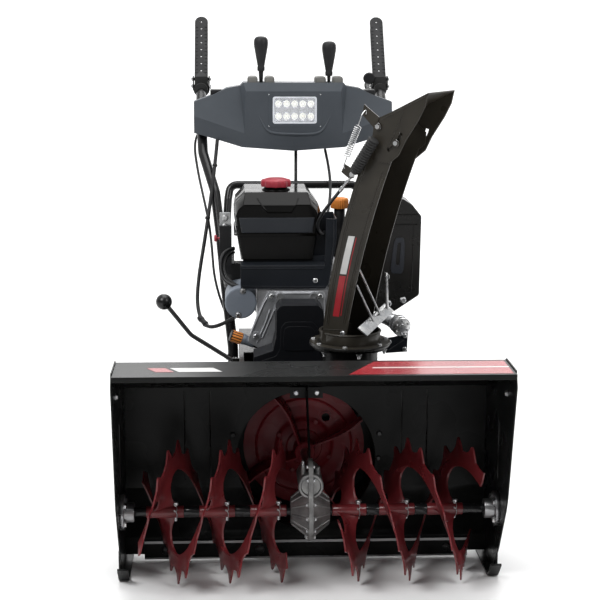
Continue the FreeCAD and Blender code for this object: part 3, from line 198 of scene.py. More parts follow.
CAP_RED = finish_of("cap_red", (0.22, 0.015, 0.028), (0.31, 0.028, 0.042), (0.34, 0.48), grain=1300,
                    peel=0.2)
CAP_ORANGE = finish_of("cap_orange", (0.52, 0.17, 0.03), (0.68, 0.24, 0.045), (0.36, 0.5), grain=1300,
                       peel=0.2)
TYRE = finish_of("tyre_rubber", (0.014, 0.014, 0.014), (0.028, 0.027, 0.026), (0.62, 0.82), sheen=0.1,
                 grain=420, peel=0.4)
RUBBER = finish_of("grip_rubber", (0.01, 0.01, 0.01), (0.02, 0.02, 0.02), (0.55, 0.72), grain=1500,
                   peel=0.35)
CABLE_JACKET = finish_of("cable_jacket", (0.006, 0.006, 0.007), (0.013, 0.013, 0.014), (0.34, 0.5),
                         shine=0.25, drift=30)
DECAL_RED = finish_of("decal_red", (0.24, 0.012, 0.018), (0.32, 0.022, 0.028), (0.22, 0.3), coat=0.2,
                      drift=8, peel=0.02)
DECAL_WHITE = finish_of("decal_white", (0.42, 0.42, 0.41), (0.56, 0.56, 0.55), (0.3, 0.4), drift=8,
                        peel=0.02)
REFLECTOR = finish_of("reflector", (0.8, 0.82, 0.86), (0.95, 0.95, 0.97), (0.06, 0.2), metallic=0.9,
                      drift=90)
BEZEL = finish_of("lamp_bezel", (0.62, 0.65, 0.7), (0.78, 0.8, 0.84), (0.2, 0.32), drift=60)


def lamp_chip():
    """Phosphor squares of the lamp, faintly glowing."""
    material, nodes, link, shader = new_material("lamp_chip", rough=0.3)
    speckle = noise(nodes, link, 700, 2)
    link(ramp(nodes, link, speckle, [(0.35, (0.86, 0.84, 0.6)), (0.65, (1, 0.98, 0.86))]),
         shader.inputs["Base Color"])
    shader.inputs["Emission Color"].default_value = (1.0, 0.98, 0.92, 1)
    shader.inputs["Emission Strength"].default_value = 0.6
    return material


def clear_cover():
    """Clear moulded lens over the lamp."""
    material, nodes, link, shader = new_material("clear_lens", rough=0.04)
    flow = noise(nodes, link, 60, 3)
    link(ramp(nodes, link, flow, [(0.3, (0.86, 0.9, 0.95)), (0.7, (0.95, 0.97, 1.0))]),
         shader.inputs["Base Color"])
    shader.inputs["Alpha"].default_value = 0.16
    shader.inputs["IOR"].default_value = 1.49
    bump(nodes, link, shader, noise(nodes, link, 220, 2), 0.2, 0.0004)
    return material


CHIP = lamp_chip()
LENS = clear_cover()

DRESSED = (
    (HOUSING_PAINT, "auger_housing side_plate_left side_plate_right scraper_bar skid_shoes impeller_drum "
                    "gearbox_strut"),
    (BLACK_PAINT, "tractor_frame recoil_housing muffler_guard chute_ring"),
    (TUBE_PAINT, "handlebar_left handlebar_right handlebar_crossbar auger_shaft lock_lever"),
    (CHUTE_PAINT, "chute deflector"),
    (SHROUD_PAINT, "engine_shroud"),
    (STARTER_PAINT, "starter_motor"),
    (RIM_PAINT, "rim_left rim_right"),
    (AUGER_RED, "auger_flight_left auger_flight_right"),
    (FAN_RED, "impeller"),
    (CAST_ALLOY, "engine_block"),
    (GEAR_ALLOY, "gearbox_shell_left gearbox_shell_right"),
    (COVER_ALLOY, "crankcase_cover"),
    (STEEL, "auger_bearings impeller_shaft engine_pulley axle"),
    (BRASS, "worm_wheel"),
    (ZINC, "hex_bolts chute_motor auger_pins chute_guard deflector_spring"),
    (TANK_PLASTIC, "fuel_tank"),
    (COVER_PLASTIC, "belt_cover"),
    (CONSOLE_PLASTIC, "console headlamp"),
    (BLACK_PLASTIC, "carburettor_box oil_necks clutch_lever_left clutch_lever_right speed_lever "
                    "chute_lever recoil_handle"),
    (CAP_RED, "fuel_cap choke_knob"),
    (CAP_ORANGE, "oil_filler_cap"),
    (RUBBER, "drive_belt grips"),
    (CABLE_JACKET, "control_cables deflector_cable"),
    (TYRE, "tyre_left tyre_right"),
    (LENS, "headlamp_lens"),
)
NODE_MATERIALS = {name: material for material, names in DRESSED for name in names.split()}
# Nodes left without an edge break.
SMOOTH_ONLY = {"control_cables", "auger_pins", "headlamp_lens", "worm_wheel", "drive_belt"}


def edge_break(item, width, segments, angle):
    """Bevel in metres on every edge sharper than an angle in degrees."""
    edge = item.modifiers.new("edge_break", "BEVEL")
    edge.width = width
    edge.segments = segments
    edge.limit_method = "ANGLE"
    edge.angle_limit = math.radians(angle)
    edge.harden_normals = True


def dress_nodes():
    """Material and a small edge break on every CAD node."""
    for name, node in NODES.items():
        node.data.materials.clear()
        node.data.materials.append(NODE_MATERIALS[name])
        if name in SMOOTH_ONLY:
            continue
        weld = node.modifiers.new("weld", "WELD")
        weld.merge_threshold = 0.00002
        flat = node.modifiers.new("flat", "DECIMATE")
        flat.decimate_type = "DISSOLVE"
        flat.angle_limit = math.radians(0.5)
        edge_break(node, 0.0008, 2, 40)


dress_nodes()


# ---------------------------------------------------------------- drawing in millimetres

def at(x, depth, z):
    """Point in millimetres, its depth counted back from the lip."""
    return Vector((x, LIP + depth, z))


def polar(radius, angle):
    """The two offsets of a point on a circle, at an angle in degrees."""
    turn = math.radians(angle)
    return radius * math.cos(turn), radius * math.sin(turn)


def shaft_point(x, radius, angle, line=AUGER_LINE):
    """Point round an axis that runs across the machine."""
    back, up = polar(radius, angle)
    return at(x, line[0] + back, line[1] + up)


def frame_on(origin, axis):
    """Matrix that puts local Z on the axis through the origin."""
    turn = Vector(axis).normalized().to_track_quat("Z", "X").to_matrix().to_4x4()
    return Matrix.Translation(Vector(origin)) @ turn


def loft(bm, rings, closed=True, caps=True):
    """Skin over rings of equally many points; an open ring is a strip."""
    count = len(rings[0])
    rows = [[bm.verts.new(point) for point in ring] for ring in rings]
    last = count if closed else count - 1
    for near, far in zip(rows, rows[1:]):
        for index in range(last):
            after = (index + 1) % count
            bm.faces.new([near[index], near[after], far[after], far[index]])
    if caps:
        bm.faces.new(rows[0][::-1])
        bm.faces.new(rows[-1])


def circle(radius, height, steps):
    """Points of a circle in local X and Y, at a local height."""
    return [Vector((*polar(radius, 360 * step / steps), height)) for step in range(steps)]


def lathe(bm, profile, origin, axis, steps=40):
    """Closed solid of revolution; profile is (radius, height) from one end of the axis to the other."""
    place = frame_on(origin, axis)
    loft(bm, [[place @ point for point in circle(max(radius, 0.01), height, steps)]
              for radius, height in profile])


def rod(bm, start, end, radius, steps=14):
    """Plain round bar between two points."""
    start, end = Vector(start), Vector(end)
    lathe(bm, [(radius, 0), (radius, (end - start).length)], start, end - start, steps)


def slab(bm, low, high):
    """Box between two corners."""
    xs, ys, zs = zip(low, high)
    ring = [(0, 0), (1, 0), (1, 1), (0, 1)]
    loft(bm, [[Vector((xs[a], ys[b], z)) for a, b in ring] for z in zs])


def plate(bm, outline, place, low, high):
    """Flat plate: the outline in local X and Y, from low to high along local Z."""
    loft(bm, [[place @ Vector((x, y, height)) for x, y in outline] for height in (low, high)])


def upright(depth):
    """Local X across, local Y up, local Z towards the intake, from the given depth."""
    return Matrix(((1, 0, 0, 0), (0, 0, -1, LIP + depth), (0, 1, 0, 0), (0, 0, 0, 1)))


def hexagon(bm, place, axis, head=6.5, height=5, washer=True):
    """Flange bolt: washer face and chamfered hexagon."""
    base = frame_on(place, axis)
    if washer:
        lathe(bm, [(head * 1.12, 0), (head * 1.12, 0.8), (head * 0.9, 1.6)], place, axis, 24)
    rings = [(head * 0.98, 0), (head * 0.98, height * 0.82), (head * 0.8, height)]
    loft(bm, [[base @ point for point in circle(radius, up, 6)] for radius, up in rings])


def spline_points(route, per_span=8):
    """Points along the NURBS curve that a route controls."""
    curve = bpy.data.curves.new("route", "CURVE")
    curve.dimensions = "3D"
    spline = curve.splines.new("NURBS")
    spline.points.add(len(route) - 1)
    for control, point in zip(spline.points, route):
        control.co = (*point, 1)
    spline.order_u = 3
    spline.use_endpoint_u = True
    spline.resolution_u = per_span
    holder = bpy.data.objects.new("route", curve)
    mesh = bpy.data.meshes.new_from_object(holder)
    points = [vertex.co.copy() for vertex in mesh.vertices]
    bpy.data.objects.remove(holder)
    bpy.data.meshes.remove(mesh)
    return points


def hose(bm, points, radius, steps=12):
    """Round tube along points; radius is a number or a function of the share of the way along."""
    reach = radius if callable(radius) else (lambda share: radius)
    up = Vector((0, 0, 1))
    rings = []
    for index, point in enumerate(points):
        before, after = points[max(index - 1, 0)], points[min(index + 1, len(points) - 1)]
        heading = (after - before).normalized()
        side = heading.cross(up)
        if side.length < 0.2:
            side = heading.cross(Vector((1, 0, 0)))
        side.normalize()
        up = side.cross(heading).normalized()
        size = reach(index / (len(points) - 1))
        rings.append([point + (side * math.cos(a) + up * math.sin(a)) * size
                      for a in (2 * math.pi * k / steps for k in range(steps))])
    loft(bm, rings)


def coil(start, end, radius, turns, per_turn=16):
    """Points of a helix round the line from start to end."""
    place = frame_on(start, end - start)
    length = (end - start).length
    count = turns * per_turn
    return [place @ Vector((*polar(radius, 360 * step / per_turn), length * step / count))
            for step in range(count + 1)]


def shown(name, data):
    """Object of a mesh, lamp or camera, linked into the scene."""
    item = bpy.data.objects.new(name, data)
    bpy.context.scene.collection.objects.link(item)
    return item


def piece(name, bm, material, body, sharp=32, bevel=0.0, segments=2):
    """Turn a millimetre bmesh into an object that rides on a body."""
    bmesh.ops.remove_doubles(bm, verts=bm.verts, dist=0.005)
    bmesh.ops.recalc_face_normals(bm, faces=bm.faces)
    bmesh.ops.scale(bm, vec=(MM, MM, MM), verts=bm.verts)
    mesh = bpy.data.meshes.new(name)
    bm.to_mesh(mesh)
    bm.free()
    mesh.materials.append(material)
    mesh.shade_smooth()
    mesh.set_sharp_from_angle(angle=math.radians(sharp))
    item = shown(name, mesh)
    if bevel:
        edge_break(item, bevel * MM, segments, 38)
    if body:
        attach(item, body)
    return item


def lobed(bm, origin, axis, profile, lobes, depth, steps=120):
    """Turned solid with a scalloped side; profile is (radius, height, share of the scallop)."""
    place = frame_on(origin, axis)
    rings = []
    for radius, height, share in profile:
        ring = []
        for step in range(steps):
            turn = 360 * step / steps
            reach = radius - depth * share * (0.5 + 0.5 * math.cos(math.radians(lobes * turn)))
            ring.append(place @ Vector((*polar(reach, turn), height)))
        rings.append(ring)
    loft(bm, rings)


def torus(bm, profile, origin, axis, steps=64):
    """Ring whose closed cross section is (radius, height) points."""
    place = frame_on(origin, axis)
    rows = []
    for step in range(steps):
        rows.append([bm.verts.new(place @ Vector((*polar(radius, 360 * step / steps), height)))
                     for radius, height in profile])
    for index, near in enumerate(rows):
        far = rows[(index + 1) % steps]
        for k in range(len(profile)):
            after = (k + 1) % len(profile)
            bm.faces.new([near[k], near[after], far[after], far[k]])


def frame_plate(bm, outer, inner, place, low, high):
    """Flat ring between two outlines of equally many points."""
    corners = []
    for height in (low, high):
        for outline in (outer, inner):
            corners.append([bm.verts.new(place @ Vector((x, y, height))) for x, y in outline])
    low_out, low_in, high_out, high_in = corners
    for k in range(len(outer)):
        after = (k + 1) % len(outer)
        bm.faces.new([low_out[k], low_out[after], high_out[after], high_out[k]])
        bm.faces.new([low_in[after], low_in[k], high_in[k], high_in[after]])
        bm.faces.new([high_out[k], high_out[after], high_in[after], high_in[k]])
        bm.faces.new([low_out[after], low_out[k], low_in[k], low_in[after]])


def softened(outline, share):
    """Closed outline with its corners cut back twice, by a share of each side."""
    for _ in range(2):
        fresh = []
        for (x, y), (next_x, next_y) in zip(outline, outline[1:] + outline[:1]):
            dx, dy = (next_x - x) * share, (next_y - y) * share
            fresh += [(x + dx, y + dy), (next_x - dx, next_y - dy)]
        outline = fresh
    return outline


def window(low_x, high_x, low_y, high_y, radius, steps=5):
    """Rectangle with round corners."""
    points = []
    for x, y, start in ((high_x - radius, high_y - radius, 0), (low_x + radius, high_y - radius, 90),
                        (low_x + radius, low_y + radius, 180), (high_x - radius, low_y + radius, 270)):
        for step in range(steps + 1):
            across, along = polar(radius, start + 90 * step / steps)
            points.append((x + across, y + along))
    return points


def bead(name, routes, radius, material, body):
    """Raised lines along routes of points."""
    bm = bmesh.new()
    for route in routes:
        hose(bm, route, radius, 8)
    return piece(name, bm, material, body)


def on_face(depth, *routes):
    """Routes of (x, z) points at one depth."""
    return [[at(x, depth, z) for x, z in route] for route in routes]


def chute_at(x, y, z):
    """Point in the chute's own frame: X along its heading, Y to its far side."""
    cosine, sine = math.cos(CHUTE_HEADING), math.sin(CHUTE_HEADING)
    return at(CHUTE_SPOT[0] + x * cosine - y * sine, CHUTE_SPOT[1] + x * sine + y * cosine, z)


def arc_through(low, middle, high):
    """Function that gives X at a height on the circle through three (x, z) points."""
    (ax, az), (bx, bz), (cx, cz) = low, middle, high
    scale = 2 * (ax * (bz - cz) + bx * (cz - az) + cx * (az - bz))
    a, b, c = ax * ax + az * az, bx * bx + bz * bz, cx * cx + cz * cz
    centre_x = (a * (bz - cz) + b * (cz - az) + c * (az - bz)) / scale
    centre_z = (a * (cx - bx) + b * (ax - cx) + c * (bx - ax)) / scale
    radius = math.hypot(ax - centre_x, az - centre_z)
    side = 1 if bx > centre_x else -1
    return lambda z: centre_x + side * math.sqrt(radius ** 2 - (z - centre_z) ** 2)


# ---------------------------------------------------------------- auger

AUGER_AXIS = at(0, *AUGER_LINE)
TIP, ROOT, INNER, LEAD = 146, 119, 86, 210
LEFT_SLEEVES = ((-333, -257), (-225, -153), (-122, -48))
RIGHT_SLEEVES = ((45, 115), (141, 214), (240, 313))


def tooth_radius(angle):
    """Outer radius of the ribbon: a hooked tooth every 30 degrees, blunt at its point."""
    share = (angle % 30) / 30
    stops = [(0, 0), (0.25, 0.25), (0.47, 1), (0.53, 1), (0.75, 0), (1, 0)]
    for (low, start), (high, end) in zip(stops, stops[1:]):
        if share <= high:
            return ROOT + (TIP - ROOT) * (start + (end - start) * (share - low) / (high - low))
    return ROOT


def ribbon_point(across, crossing, hand, radius, lean):
    """Point on a ribbon at its X, which crosses the front at crossing; lean moves it sideways."""
    turn = math.radians(hand * 360 * (across - crossing) / LEAD)
    return AUGER_AXIS + Vector((across + lean, -radius * math.cos(turn), radius * math.sin(turn)))


def ribbon(bm, span, crossing, hand):
    """Toothed helical ribbon, dished slightly between its inner and outer edges."""
    thick, step = 3.0, 1.25
    first = math.ceil(360 * (span[0] - crossing) / LEAD / step)
    last = math.floor(360 * (span[1] - crossing) / LEAD / step)
    rings = []
    for count in range(first, last + 1):
        angle = count * step
        across = crossing + angle / 360 * LEAD
        outer = tooth_radius(angle)
        radii = (INNER, (INNER + ROOT) / 2, outer)
        ring = []
        for side, order in ((-0.5, radii), (0.5, radii[::-1])):
            for radius in order:
                dish = 1.6 * math.sin(math.pi * (radius - INNER) / (TIP - INNER))
                ring.append(ribbon_point(across, crossing, hand, radius, dish + thick * side))
        rings.append(ring)
    loft(bm, rings)


def arm(bm, middle, crossing, hand):
    """Web that carries the ribbon: a strip of the same helicoid, wide at the sleeve and at the ribbon."""
    half_angles = ((10.5, 44), (18, 30), (30, 22), (48, 18), (64, 19), (76, 25), (84, 34), (91, 48))
    rings = []
    for radius, half_angle in half_angles:
        stops = [middle + half_angle * (step / 4 - 1) / 360 * LEAD for step in range(9)]
        rings.append([ribbon_point(across, crossing, hand, radius, lean)
                      for lean, order in ((-1.9, stops), (1.9, stops[::-1])) for across in order])
    loft(bm, rings)


def flights():
    """Ribbons, webs and sleeves of both sides."""
    for side, hand, crossings, span, sleeves in (
            ("left", 1, (-330, -225), (-345, -50), LEFT_SLEEVES),
            ("right", -1, (54, 159), (50, 341), RIGHT_SLEEVES)):
        bm = bmesh.new()
        for crossing in crossings:
            ribbon(bm, span, crossing, hand)
        for low, high in sleeves:
            length = high - low
            sleeve = [(9.6, 0), (11.6, 0), (12.2, 0.8), (12.2, length - 0.8), (11.6, length), (9.6, length)]
            lathe(bm, sleeve, at(low, *AUGER_LINE), RIGHT, 36)
            for crossing in crossings:
                arm(bm, (low + high) / 2, crossing, hand)
        item = piece("ribbons_" + side, bm, AUGER_RED, "auger", sharp=38)
        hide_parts("auger_flight_" + side)


def hairpins():
    """Spring clips of the shear pins, one on each sleeve."""
    bm = bmesh.new()
    for _, high in LEFT_SLEEVES + RIGHT_SLEEVES:
        centre = at(high - 16, *AUGER_LINE)
        route = [centre + Vector((dx, dy, dz)) for dx, dy, dz in (
            (-5, -2, 17), (-2, -6, 17.6), (2, -10, 15), (3, -13, 9), (1, -14, 4), (-3, -14, 5),
            (-3, -14.4, 9), (1, -14.6, 5), (3, -13, -3), (2, -11, -10), (0, -9, -15))]
        hose(bm, spline_points(route, 5), 0.7, 6)
    piece("hairpin_clips", bm, STEEL, "auger")


flights()
hairpins()
print("auger ready")


# ---------------------------------------------------------------- housing

def bolts():
    """Flange bolts of the whole machine, in place of the plain heads."""
    bm = bmesh.new()
    for angle in (45, 135, 225, 315):
        for side in SIDES:
            hexagon(bm, shaft_point(side * 377, 27, angle), (-side, 0, 0))
        for side in SIDES:
            hexagon(bm, shaft_point(side * 388, 27, angle), (side, 0, 0), 6.5, 3.4, False)
    for across in (-22, 22):
        hexagon(bm, at(across, 328.3, 358), FRONT, 5.5, 4.6)
    for side in SIDES:
        hexagon(bm, at(side * 385, 100, 412), (-side, 0, 0), 6.5, 5)
        hexagon(bm, at(side * 168, 735, 292), (side, 0, 0), 7, 5)
        hexagon(bm, at(side * 166.5, 742, 340), (side, 0, 0), 7, 5)
    for angle in (100, 160, 220, 280, 340):
        across, back = polar(76, angle)
        spot = at(CHUTE_SPOT[0] + across, CHUTE_SPOT[1] + back, 441)
        hexagon(bm, spot, (0, 0, -1), 6, 5)
        rod(bm, spot - Vector((0, 0, 5)), spot - Vector((0, 0, 10)), 3, 10)
    for across, up in ((-102, 424), (-66, 517), (44, 516)):
        hexagon(bm, at(across, 589, up), FRONT, 6.5, 5)
    hexagon(bm, at(34, 612, 548), FRONT, 5, 4.5)
    for across, up in ((240, 494), (206, 486)):
        hexagon(bm, at(across, 650, up), FRONT, 6.5, 5)
    for z in (673, 653):
        hexagon(bm, at(-171, 753, z), FRONT, 7, 5.5)
    item = piece("flange_bolts", bm, ZINC, "chassis")
    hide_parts("hex_bolts")
    bm = bmesh.new()
    for across in (-300, -100, 100, 300):
        lathe(bm, [(10, 0), (9.4, 1.4), (6.4, 3), (0.5, 3.8)], at(across, 292.2, 24), FRONT, 24)
    for side in SIDES:
        for across, up in ((156.25, 266), (155, 211)):
            hexagon(bm, at(side * across, 332.4, up), FRONT, 5.5, 4.5)
    piece("dark_bolts", bm, TUBE_PAINT, "chassis")


def housing_details():
    """Pressed ribs of the sheet metal, steel strips along the scraper bar as painted highlights, and the
    stripes on the top plate.
    """
    ribs = []
    for side in SIDES:
        for across in (258, 204):
            ribs.append([at(side * across, 332.7, z) for z in (168, 240, 362)])
        ribs.append([at(side * 385.2, 176, z) for z in (214, 270, 334)])
        ribs.append([at(side * 385.2, depth, z)
                     for depth, z in ((60, 440), (122, 446), (200, 408), (310, 352))])
    bead("pressed_ribs", ribs, 1.7, BLACK_PAINT, "chassis")
    # Painted highlights: bright steel strips along the top and bottom edges of the scraper bar.
    bm = bmesh.new()
    slab(bm, at(-345, 291.7, 39), at(345, 292.5, 44.4))
    slab(bm, at(-345, 291.7, 4.6), at(345, 292.5, 8))
    piece("scraper_painted_highlights", bm, STEEL, "chassis")
    bm = bmesh.new()
    flat = Matrix.Translation(Vector((0, LIP, 0)))
    under, over = 475.02, 475.35
    plate(bm, [(64, 9), (379, 9), (379, 113), (121, 113)], flat, under, over)
    plate(bm, [(-321, 72), (-286, 72), (-268, 40), (-303, 40)], flat, under, over)
    piece("red_stripes", bm, DECAL_RED, "chassis")
    bm = bmesh.new()
    plate(bm, [(112, 58), (379, 58), (379, 66), (116.5, 66)], flat, 475.3, 475.6)
    plate(bm, [(-277, 72), (-194, 72), (-176, 40), (-259, 40)], flat, under, over)
    piece("white_stripes", bm, DECAL_WHITE, "chassis")


def gearbox_details():
    """Ringed cap on the worm, split flange with its bolts, cooling ribs and the grease nipple."""
    bm = bmesh.new()
    cap = [(22, 0), (25.8, 0.6), (25.8, 4), (24, 6), (20.5, 6.4), (19, 2), (8, 1.8), (6, 3), (0.5, 3.4)]
    lathe(bm, cap, at(0, 143, 212), FRONT, 48)
    outline = [(128, 196), (134, 246), (150, 262), (176, 262), (188, 244), (238, 241), (238, 186),
               (128, 186)]
    loft(bm, [[at(x, depth, z) for depth, z in softened(outline, 0.2)] for x in (-4.6, 4.6)])
    torus(bm, [(57, -5.6), (62, -4.6), (62, 4.6), (57, 5.6)], AUGER_AXIS, RIGHT, 72)
    for angle in range(0, 360, 30):
        for side in SIDES:
            rod(bm, shaft_point(side * 6, 53, angle), shaft_point(side * 38, 27, angle), 2.2, 8)
            lathe(bm, [(6.2, 0), (6.2, 3), (4.6, 3.6)], shaft_point(side * 4, 55, angle), (side, 0, 0), 16)
    for side in SIDES:
        torus(bm, [(13, 0), (21, 0), (21, 3), (13, 3)], at(side * 37, *AUGER_LINE), (side, 0, 0), 40)
    piece("gearbox_castings", bm, GEAR_ALLOY, "chassis", bevel=0.6)
    bm = bmesh.new()
    for angle in range(0, 360, 30):
        for side in SIDES:
            hexagon(bm, shaft_point(side * 7, 55, angle), (side, 0, 0), 4.4, 3.4)
    for depth, z in ((150, 250), (136, 226)):
        for side in SIDES:
            hexagon(bm, at(side * 4.6, depth, z), (side, 0, 0), 4.4, 4)
    piece("gearbox_bolts", bm, ZINC, "chassis")
    bm = bmesh.new()
    lathe(bm, [(5, 0), (5, 4), (3, 5), (3, 9), (4, 10), (2, 14)], at(-14, 163, 246), (-0.15, -0.2, 1), 16)
    piece("grease_nipple", bm, ZINC, "chassis")


def fan():
    """Impeller: ringed dish, wide back disc and four scooped blades."""
    bm = bmesh.new()
    centre = at(0, 439, 212)
    plain = [(radius, 3 + (92 - radius) * 0.12) for radius in range(92, 64, -3)]
    profile = [(radius, 0) for radius in [11, 62] + list(range(65, 96, 3))]
    profile += [(133, 0), (133, 2.6), (108, 3), (105, 5), (102, 3)] + plain
    profile += [(62, 8), (59, 12), (56, 13.6), (40, 16), (37, 20), (24, 23), (22, 27), (22, 60), (20.6, 62),
                (11, 62)]
    lathe(bm, profile, centre, FRONT, 144)
    hole = centre + Vector((48, 0, 63))
    middles = {face: face.calc_center_median() for face in bm.faces}
    inside = [face for face, middle in middles.items()
              if math.hypot(middle.x - hole.x, middle.z - hole.z) < 10]
    bmesh.ops.delete(bm, geom=inside, context="FACES")
    torus(bm, [(9.6, 3), (13, 3), (13, 6.4), (9.6, 6.4)], hole, FRONT, 40)
    for angle in (20, 110, 200, 290):
        cosine, sine = polar(1, angle)
        out, across = Vector((cosine, 0, sine)), Vector((-sine, 0, cosine))
        rings = []
        for radius in (18, 40, 62, 84, 100, 114, 126, 135, 140.5):
            scoop = 17 * max(0.0, (radius - 76) / 64) ** 1.6
            face = [(depth, scoop + curl) for depth, curl in ((-1, 0), (-30, 1.1), (-50, 3.3), (-61, 6.6))]
            rings.append([centre + out * radius + across * (curl + half) + Vector((0, depth, 0))
                          for half, order in ((-1.7, face), (1.7, face[::-1])) for depth, curl in order])
        loft(bm, rings)
    item = piece("fan_blades", bm, FAN_RED, "fan", sharp=30)
    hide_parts("impeller")
    bm = bmesh.new()
    for angle in (65, 155, 245, 335):
        across, up = polar(60, angle)
        hexagon(bm, centre + Vector((across, -9.6, up)), FRONT, 6, 5)
    piece("fan_bolts", bm, FAN_RED, "fan")


bolts()
housing_details()
gearbox_details()
fan()
print("housing ready")


# ---------------------------------------------------------------- engine

def crankcase():
    """Cast ridges, bolt bosses and open dowels of the crankcase cover, and the belt cover's panel."""
    ridges = on_face(
        589, [(-116, 424), (-108, 444), (-84, 500), (-72, 520), (-40, 523), (42, 523)],
        [(-88, 420), (-64, 476), (-56, 496), (-44, 500), (40, 499)], [(-100, 410), (-80, 456), (-70, 486)])
    bead("casting_ridges", ridges, 2.4, COVER_ALLOY, "chassis")
    bm = bmesh.new()
    for across, up in ((-102, 424), (-66, 517), (44, 516), (-47, 515), (30, 515)):
        lathe(bm, [(12, 0), (11.4, 2.6), (8.5, 3), (0.5, 3)], at(across, 589.6, up), FRONT, 28)
    lathe(bm, [(3, 0), (7, 0.4), (9, 5), (9, 14), (7.6, 15)], at(-54, 592, 486), (0.3, -1, 0.3), 20)
    piece("casting_bosses", bm, COVER_ALLOY, "chassis")
    bm = bmesh.new()
    for across in (-47, 30):
        torus(bm, [(3.2, 0), (8.6, 0), (8.6, 2), (3.2, 2)], at(across, 586.8, 515), FRONT, 32)
    piece("dowel_rings", bm, ZINC, "chassis")
    bm = bmesh.new()
    panel = [(-98, 180), (-98, 386), (-60, 398), (-50, 414), (-49, 462), (-38, 476), (22, 476),
             (34, 462), (38, 402), (78, 300), (78, 180)]
    plate(bm, softened(panel, 0.12), upright(500), -0.2, 2.4)
    plate(bm, softened([(-44, 430), (-40, 466), (18, 466), (28, 452), (30, 410), (-40, 410)], 0.15),
          upright(497.6), -0.2, 1.6)
    piece("cover_panel", bm, COVER_PLASTIC, "chassis", bevel=1.2, segments=3)


def shroud_details():
    """Rear sheets of the shroud under and beside the tank."""
    bm = bmesh.new()
    plate(bm, [(-136, 560), (60, 560), (60, 596), (-128, 596)], upright(670), 0, 3)
    plate(bm, [(10, 560), (80, 560), (80, 694), (24, 694)], upright(704), 0, 3)
    slab(bm, at(-136, 614, 579.5), at(57, 672, 583))
    slab(bm, at(62, 614, 541), at(65, 672, 583))
    slab(bm, at(79, 614, 640), at(82, 706, 690))
    piece("shroud_sheets", bm, SHROUD_PAINT, "chassis", bevel=0.5)
    folds = on_face(611.8, [(-132, 576), (-40, 576), (54, 576)], [(-132, 536), (-40, 534), (54, 534)],
                    [(70, 590), (75, 640), (75, 684)])
    bead("shroud_folds", folds, 1.4, SHROUD_PAINT, "chassis")


def tank():
    """Fuel tank: faceted front, recess below the cap, proud band and the moulding seam."""
    front = [(-131, 588), (29, 588), (42, 690), (38, 702), (26, 715), (-129, 715), (-141, 703), (-146, 690)]
    full = [(-135, 584), (33, 584), (51, 692), (45, 712), (19, 741), (-124, 741), (-147, 716), (-151, 692)]
    small = [((x + 50) * 0.955 - 50, (z - 660) * 0.95 + 660) for x, z in full]
    bm = bmesh.new()
    loft(bm, [[at(x, depth, z) for x, z in ring] for depth, ring in
              ((660.4, front), (690, full), (860, full), (875.6, small))])
    lathe(bm, [(34, 0), (32, 3), (28, 4), (27, 7.4), (20, 7.6)], at(-52, 745, 740.6), UP, 40)
    item = piece("tank_body", bm, TANK_PLASTIC, "chassis", sharp=50, bevel=5,
                 segments=5)
    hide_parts("fuel_tank")
    # Band on the tank's front; its bluish tone, lighter than the tank, is a painted highlight.
    bm = bmesh.new()
    plate(bm, [(-133, 651), (29, 651), (35, 686), (-139, 686)], upright(660.6), -0.5, 3)
    piece("tank_band", bm, BAND_PLASTIC, "chassis", bevel=1.6, segments=3)
    bm = bmesh.new()
    loft(bm, [[at(x, depth, z) for x, depth in window(-148 - grow, 46 + grow, 660 - grow, 874, 14, 4)]
              for z, grow in ((643.5, 0), (644.5, 3), (648.5, 3), (649.5, 0))])
    piece("tank_seam", bm, TANK_PLASTIC, "chassis")
    bm = bmesh.new()
    for corners in ((at(-87, 659.9, 714), at(-74, 659.9, 698), at(-19, 659.9, 698), at(-8, 659.9, 714)),
                    (at(-87, 659.9, 714.5), at(-8, 659.9, 714.5), at(-4, 676, 728), at(-96, 676, 728))):
        bm.faces.new([bm.verts.new(point) for point in corners])
    hose(bm, [at(-97, 676, 728.6), at(-87, 661, 715), at(-74, 659.6, 698), at(-19, 659.6, 698),
              at(-8, 661, 715), at(-3, 676, 728.6)], 1.5, 8)
    piece("tank_recess", bm, TANK_PLASTIC, "chassis")


def caps():
    """Lobed fuel cap, ribbed oil cap and drain plug, and the choke knob."""
    bm = bmesh.new()
    lobed(bm, at(-52, 745, 748.5), UP,
          [(31, 0, 0), (35.6, 0.4, 1), (36.4, 3, 1), (36.4, 11, 1), (35, 14.6, 1), (31.5, 16.4, 0.6),
           (28, 16.8, 0), (26, 17.6, 0), (22, 19.2, 0), (8, 19.7, 0)], 10, 3.2)
    item = piece("fuel_cap_lobed", bm, CAP_RED, "fuel_cap_body")
    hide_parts("fuel_cap")
    bm = bmesh.new()
    lobed(bm, at(101, 792, 690.5), UP,
          [(18, 0, 0), (20.8, 0.3, 1), (21.4, 2, 1), (21.4, 19, 1), (20.4, 22, 1), (18.6, 24, 0.3),
           (12, 25.4, 0)], 30, 1.0, 240)
    item = piece("oil_cap_ribbed", bm, CAP_ORANGE, "oil_cap_body")
    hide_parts("oil_filler_cap")
    bm = bmesh.new()
    lobed(bm, at(-135, 614, 412.6), (-24, -2, 9),
          [(12, 0, 0), (13.6, 0.4, 1), (13.8, 2, 1), (13.8, 22, 1), (12.8, 25, 0.8), (9, 26, 0)], 12, 1.2)
    piece("drain_plug_ribbed", bm, CAP_ORANGE, "chassis")
    bm = bmesh.new()
    lathe(bm, [(11.4, 0), (11.4, 22), (12.6, 23), (12.6, 30)], at(-106, 616.2, 402.6), (-24, -2, 9), 28)
    piece("drain_neck_sleeve", bm, STARTER_PAINT, "chassis")
    bm = bmesh.new()
    lobed(bm, at(-197.2, 752, 625), RIGHT,
          [(5, 0, 0), (7.6, 0.5, 1), (8, 2, 1), (8, 6, 1), (5, 7.4, 0.2)], 12, 0.8)
    rod(bm, at(-190.4, 752, 625), at(-184.3, 752, 625), 3)
    item = piece("choke_knob_ribbed", bm, CAP_RED, "choke")
    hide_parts("choke_knob")


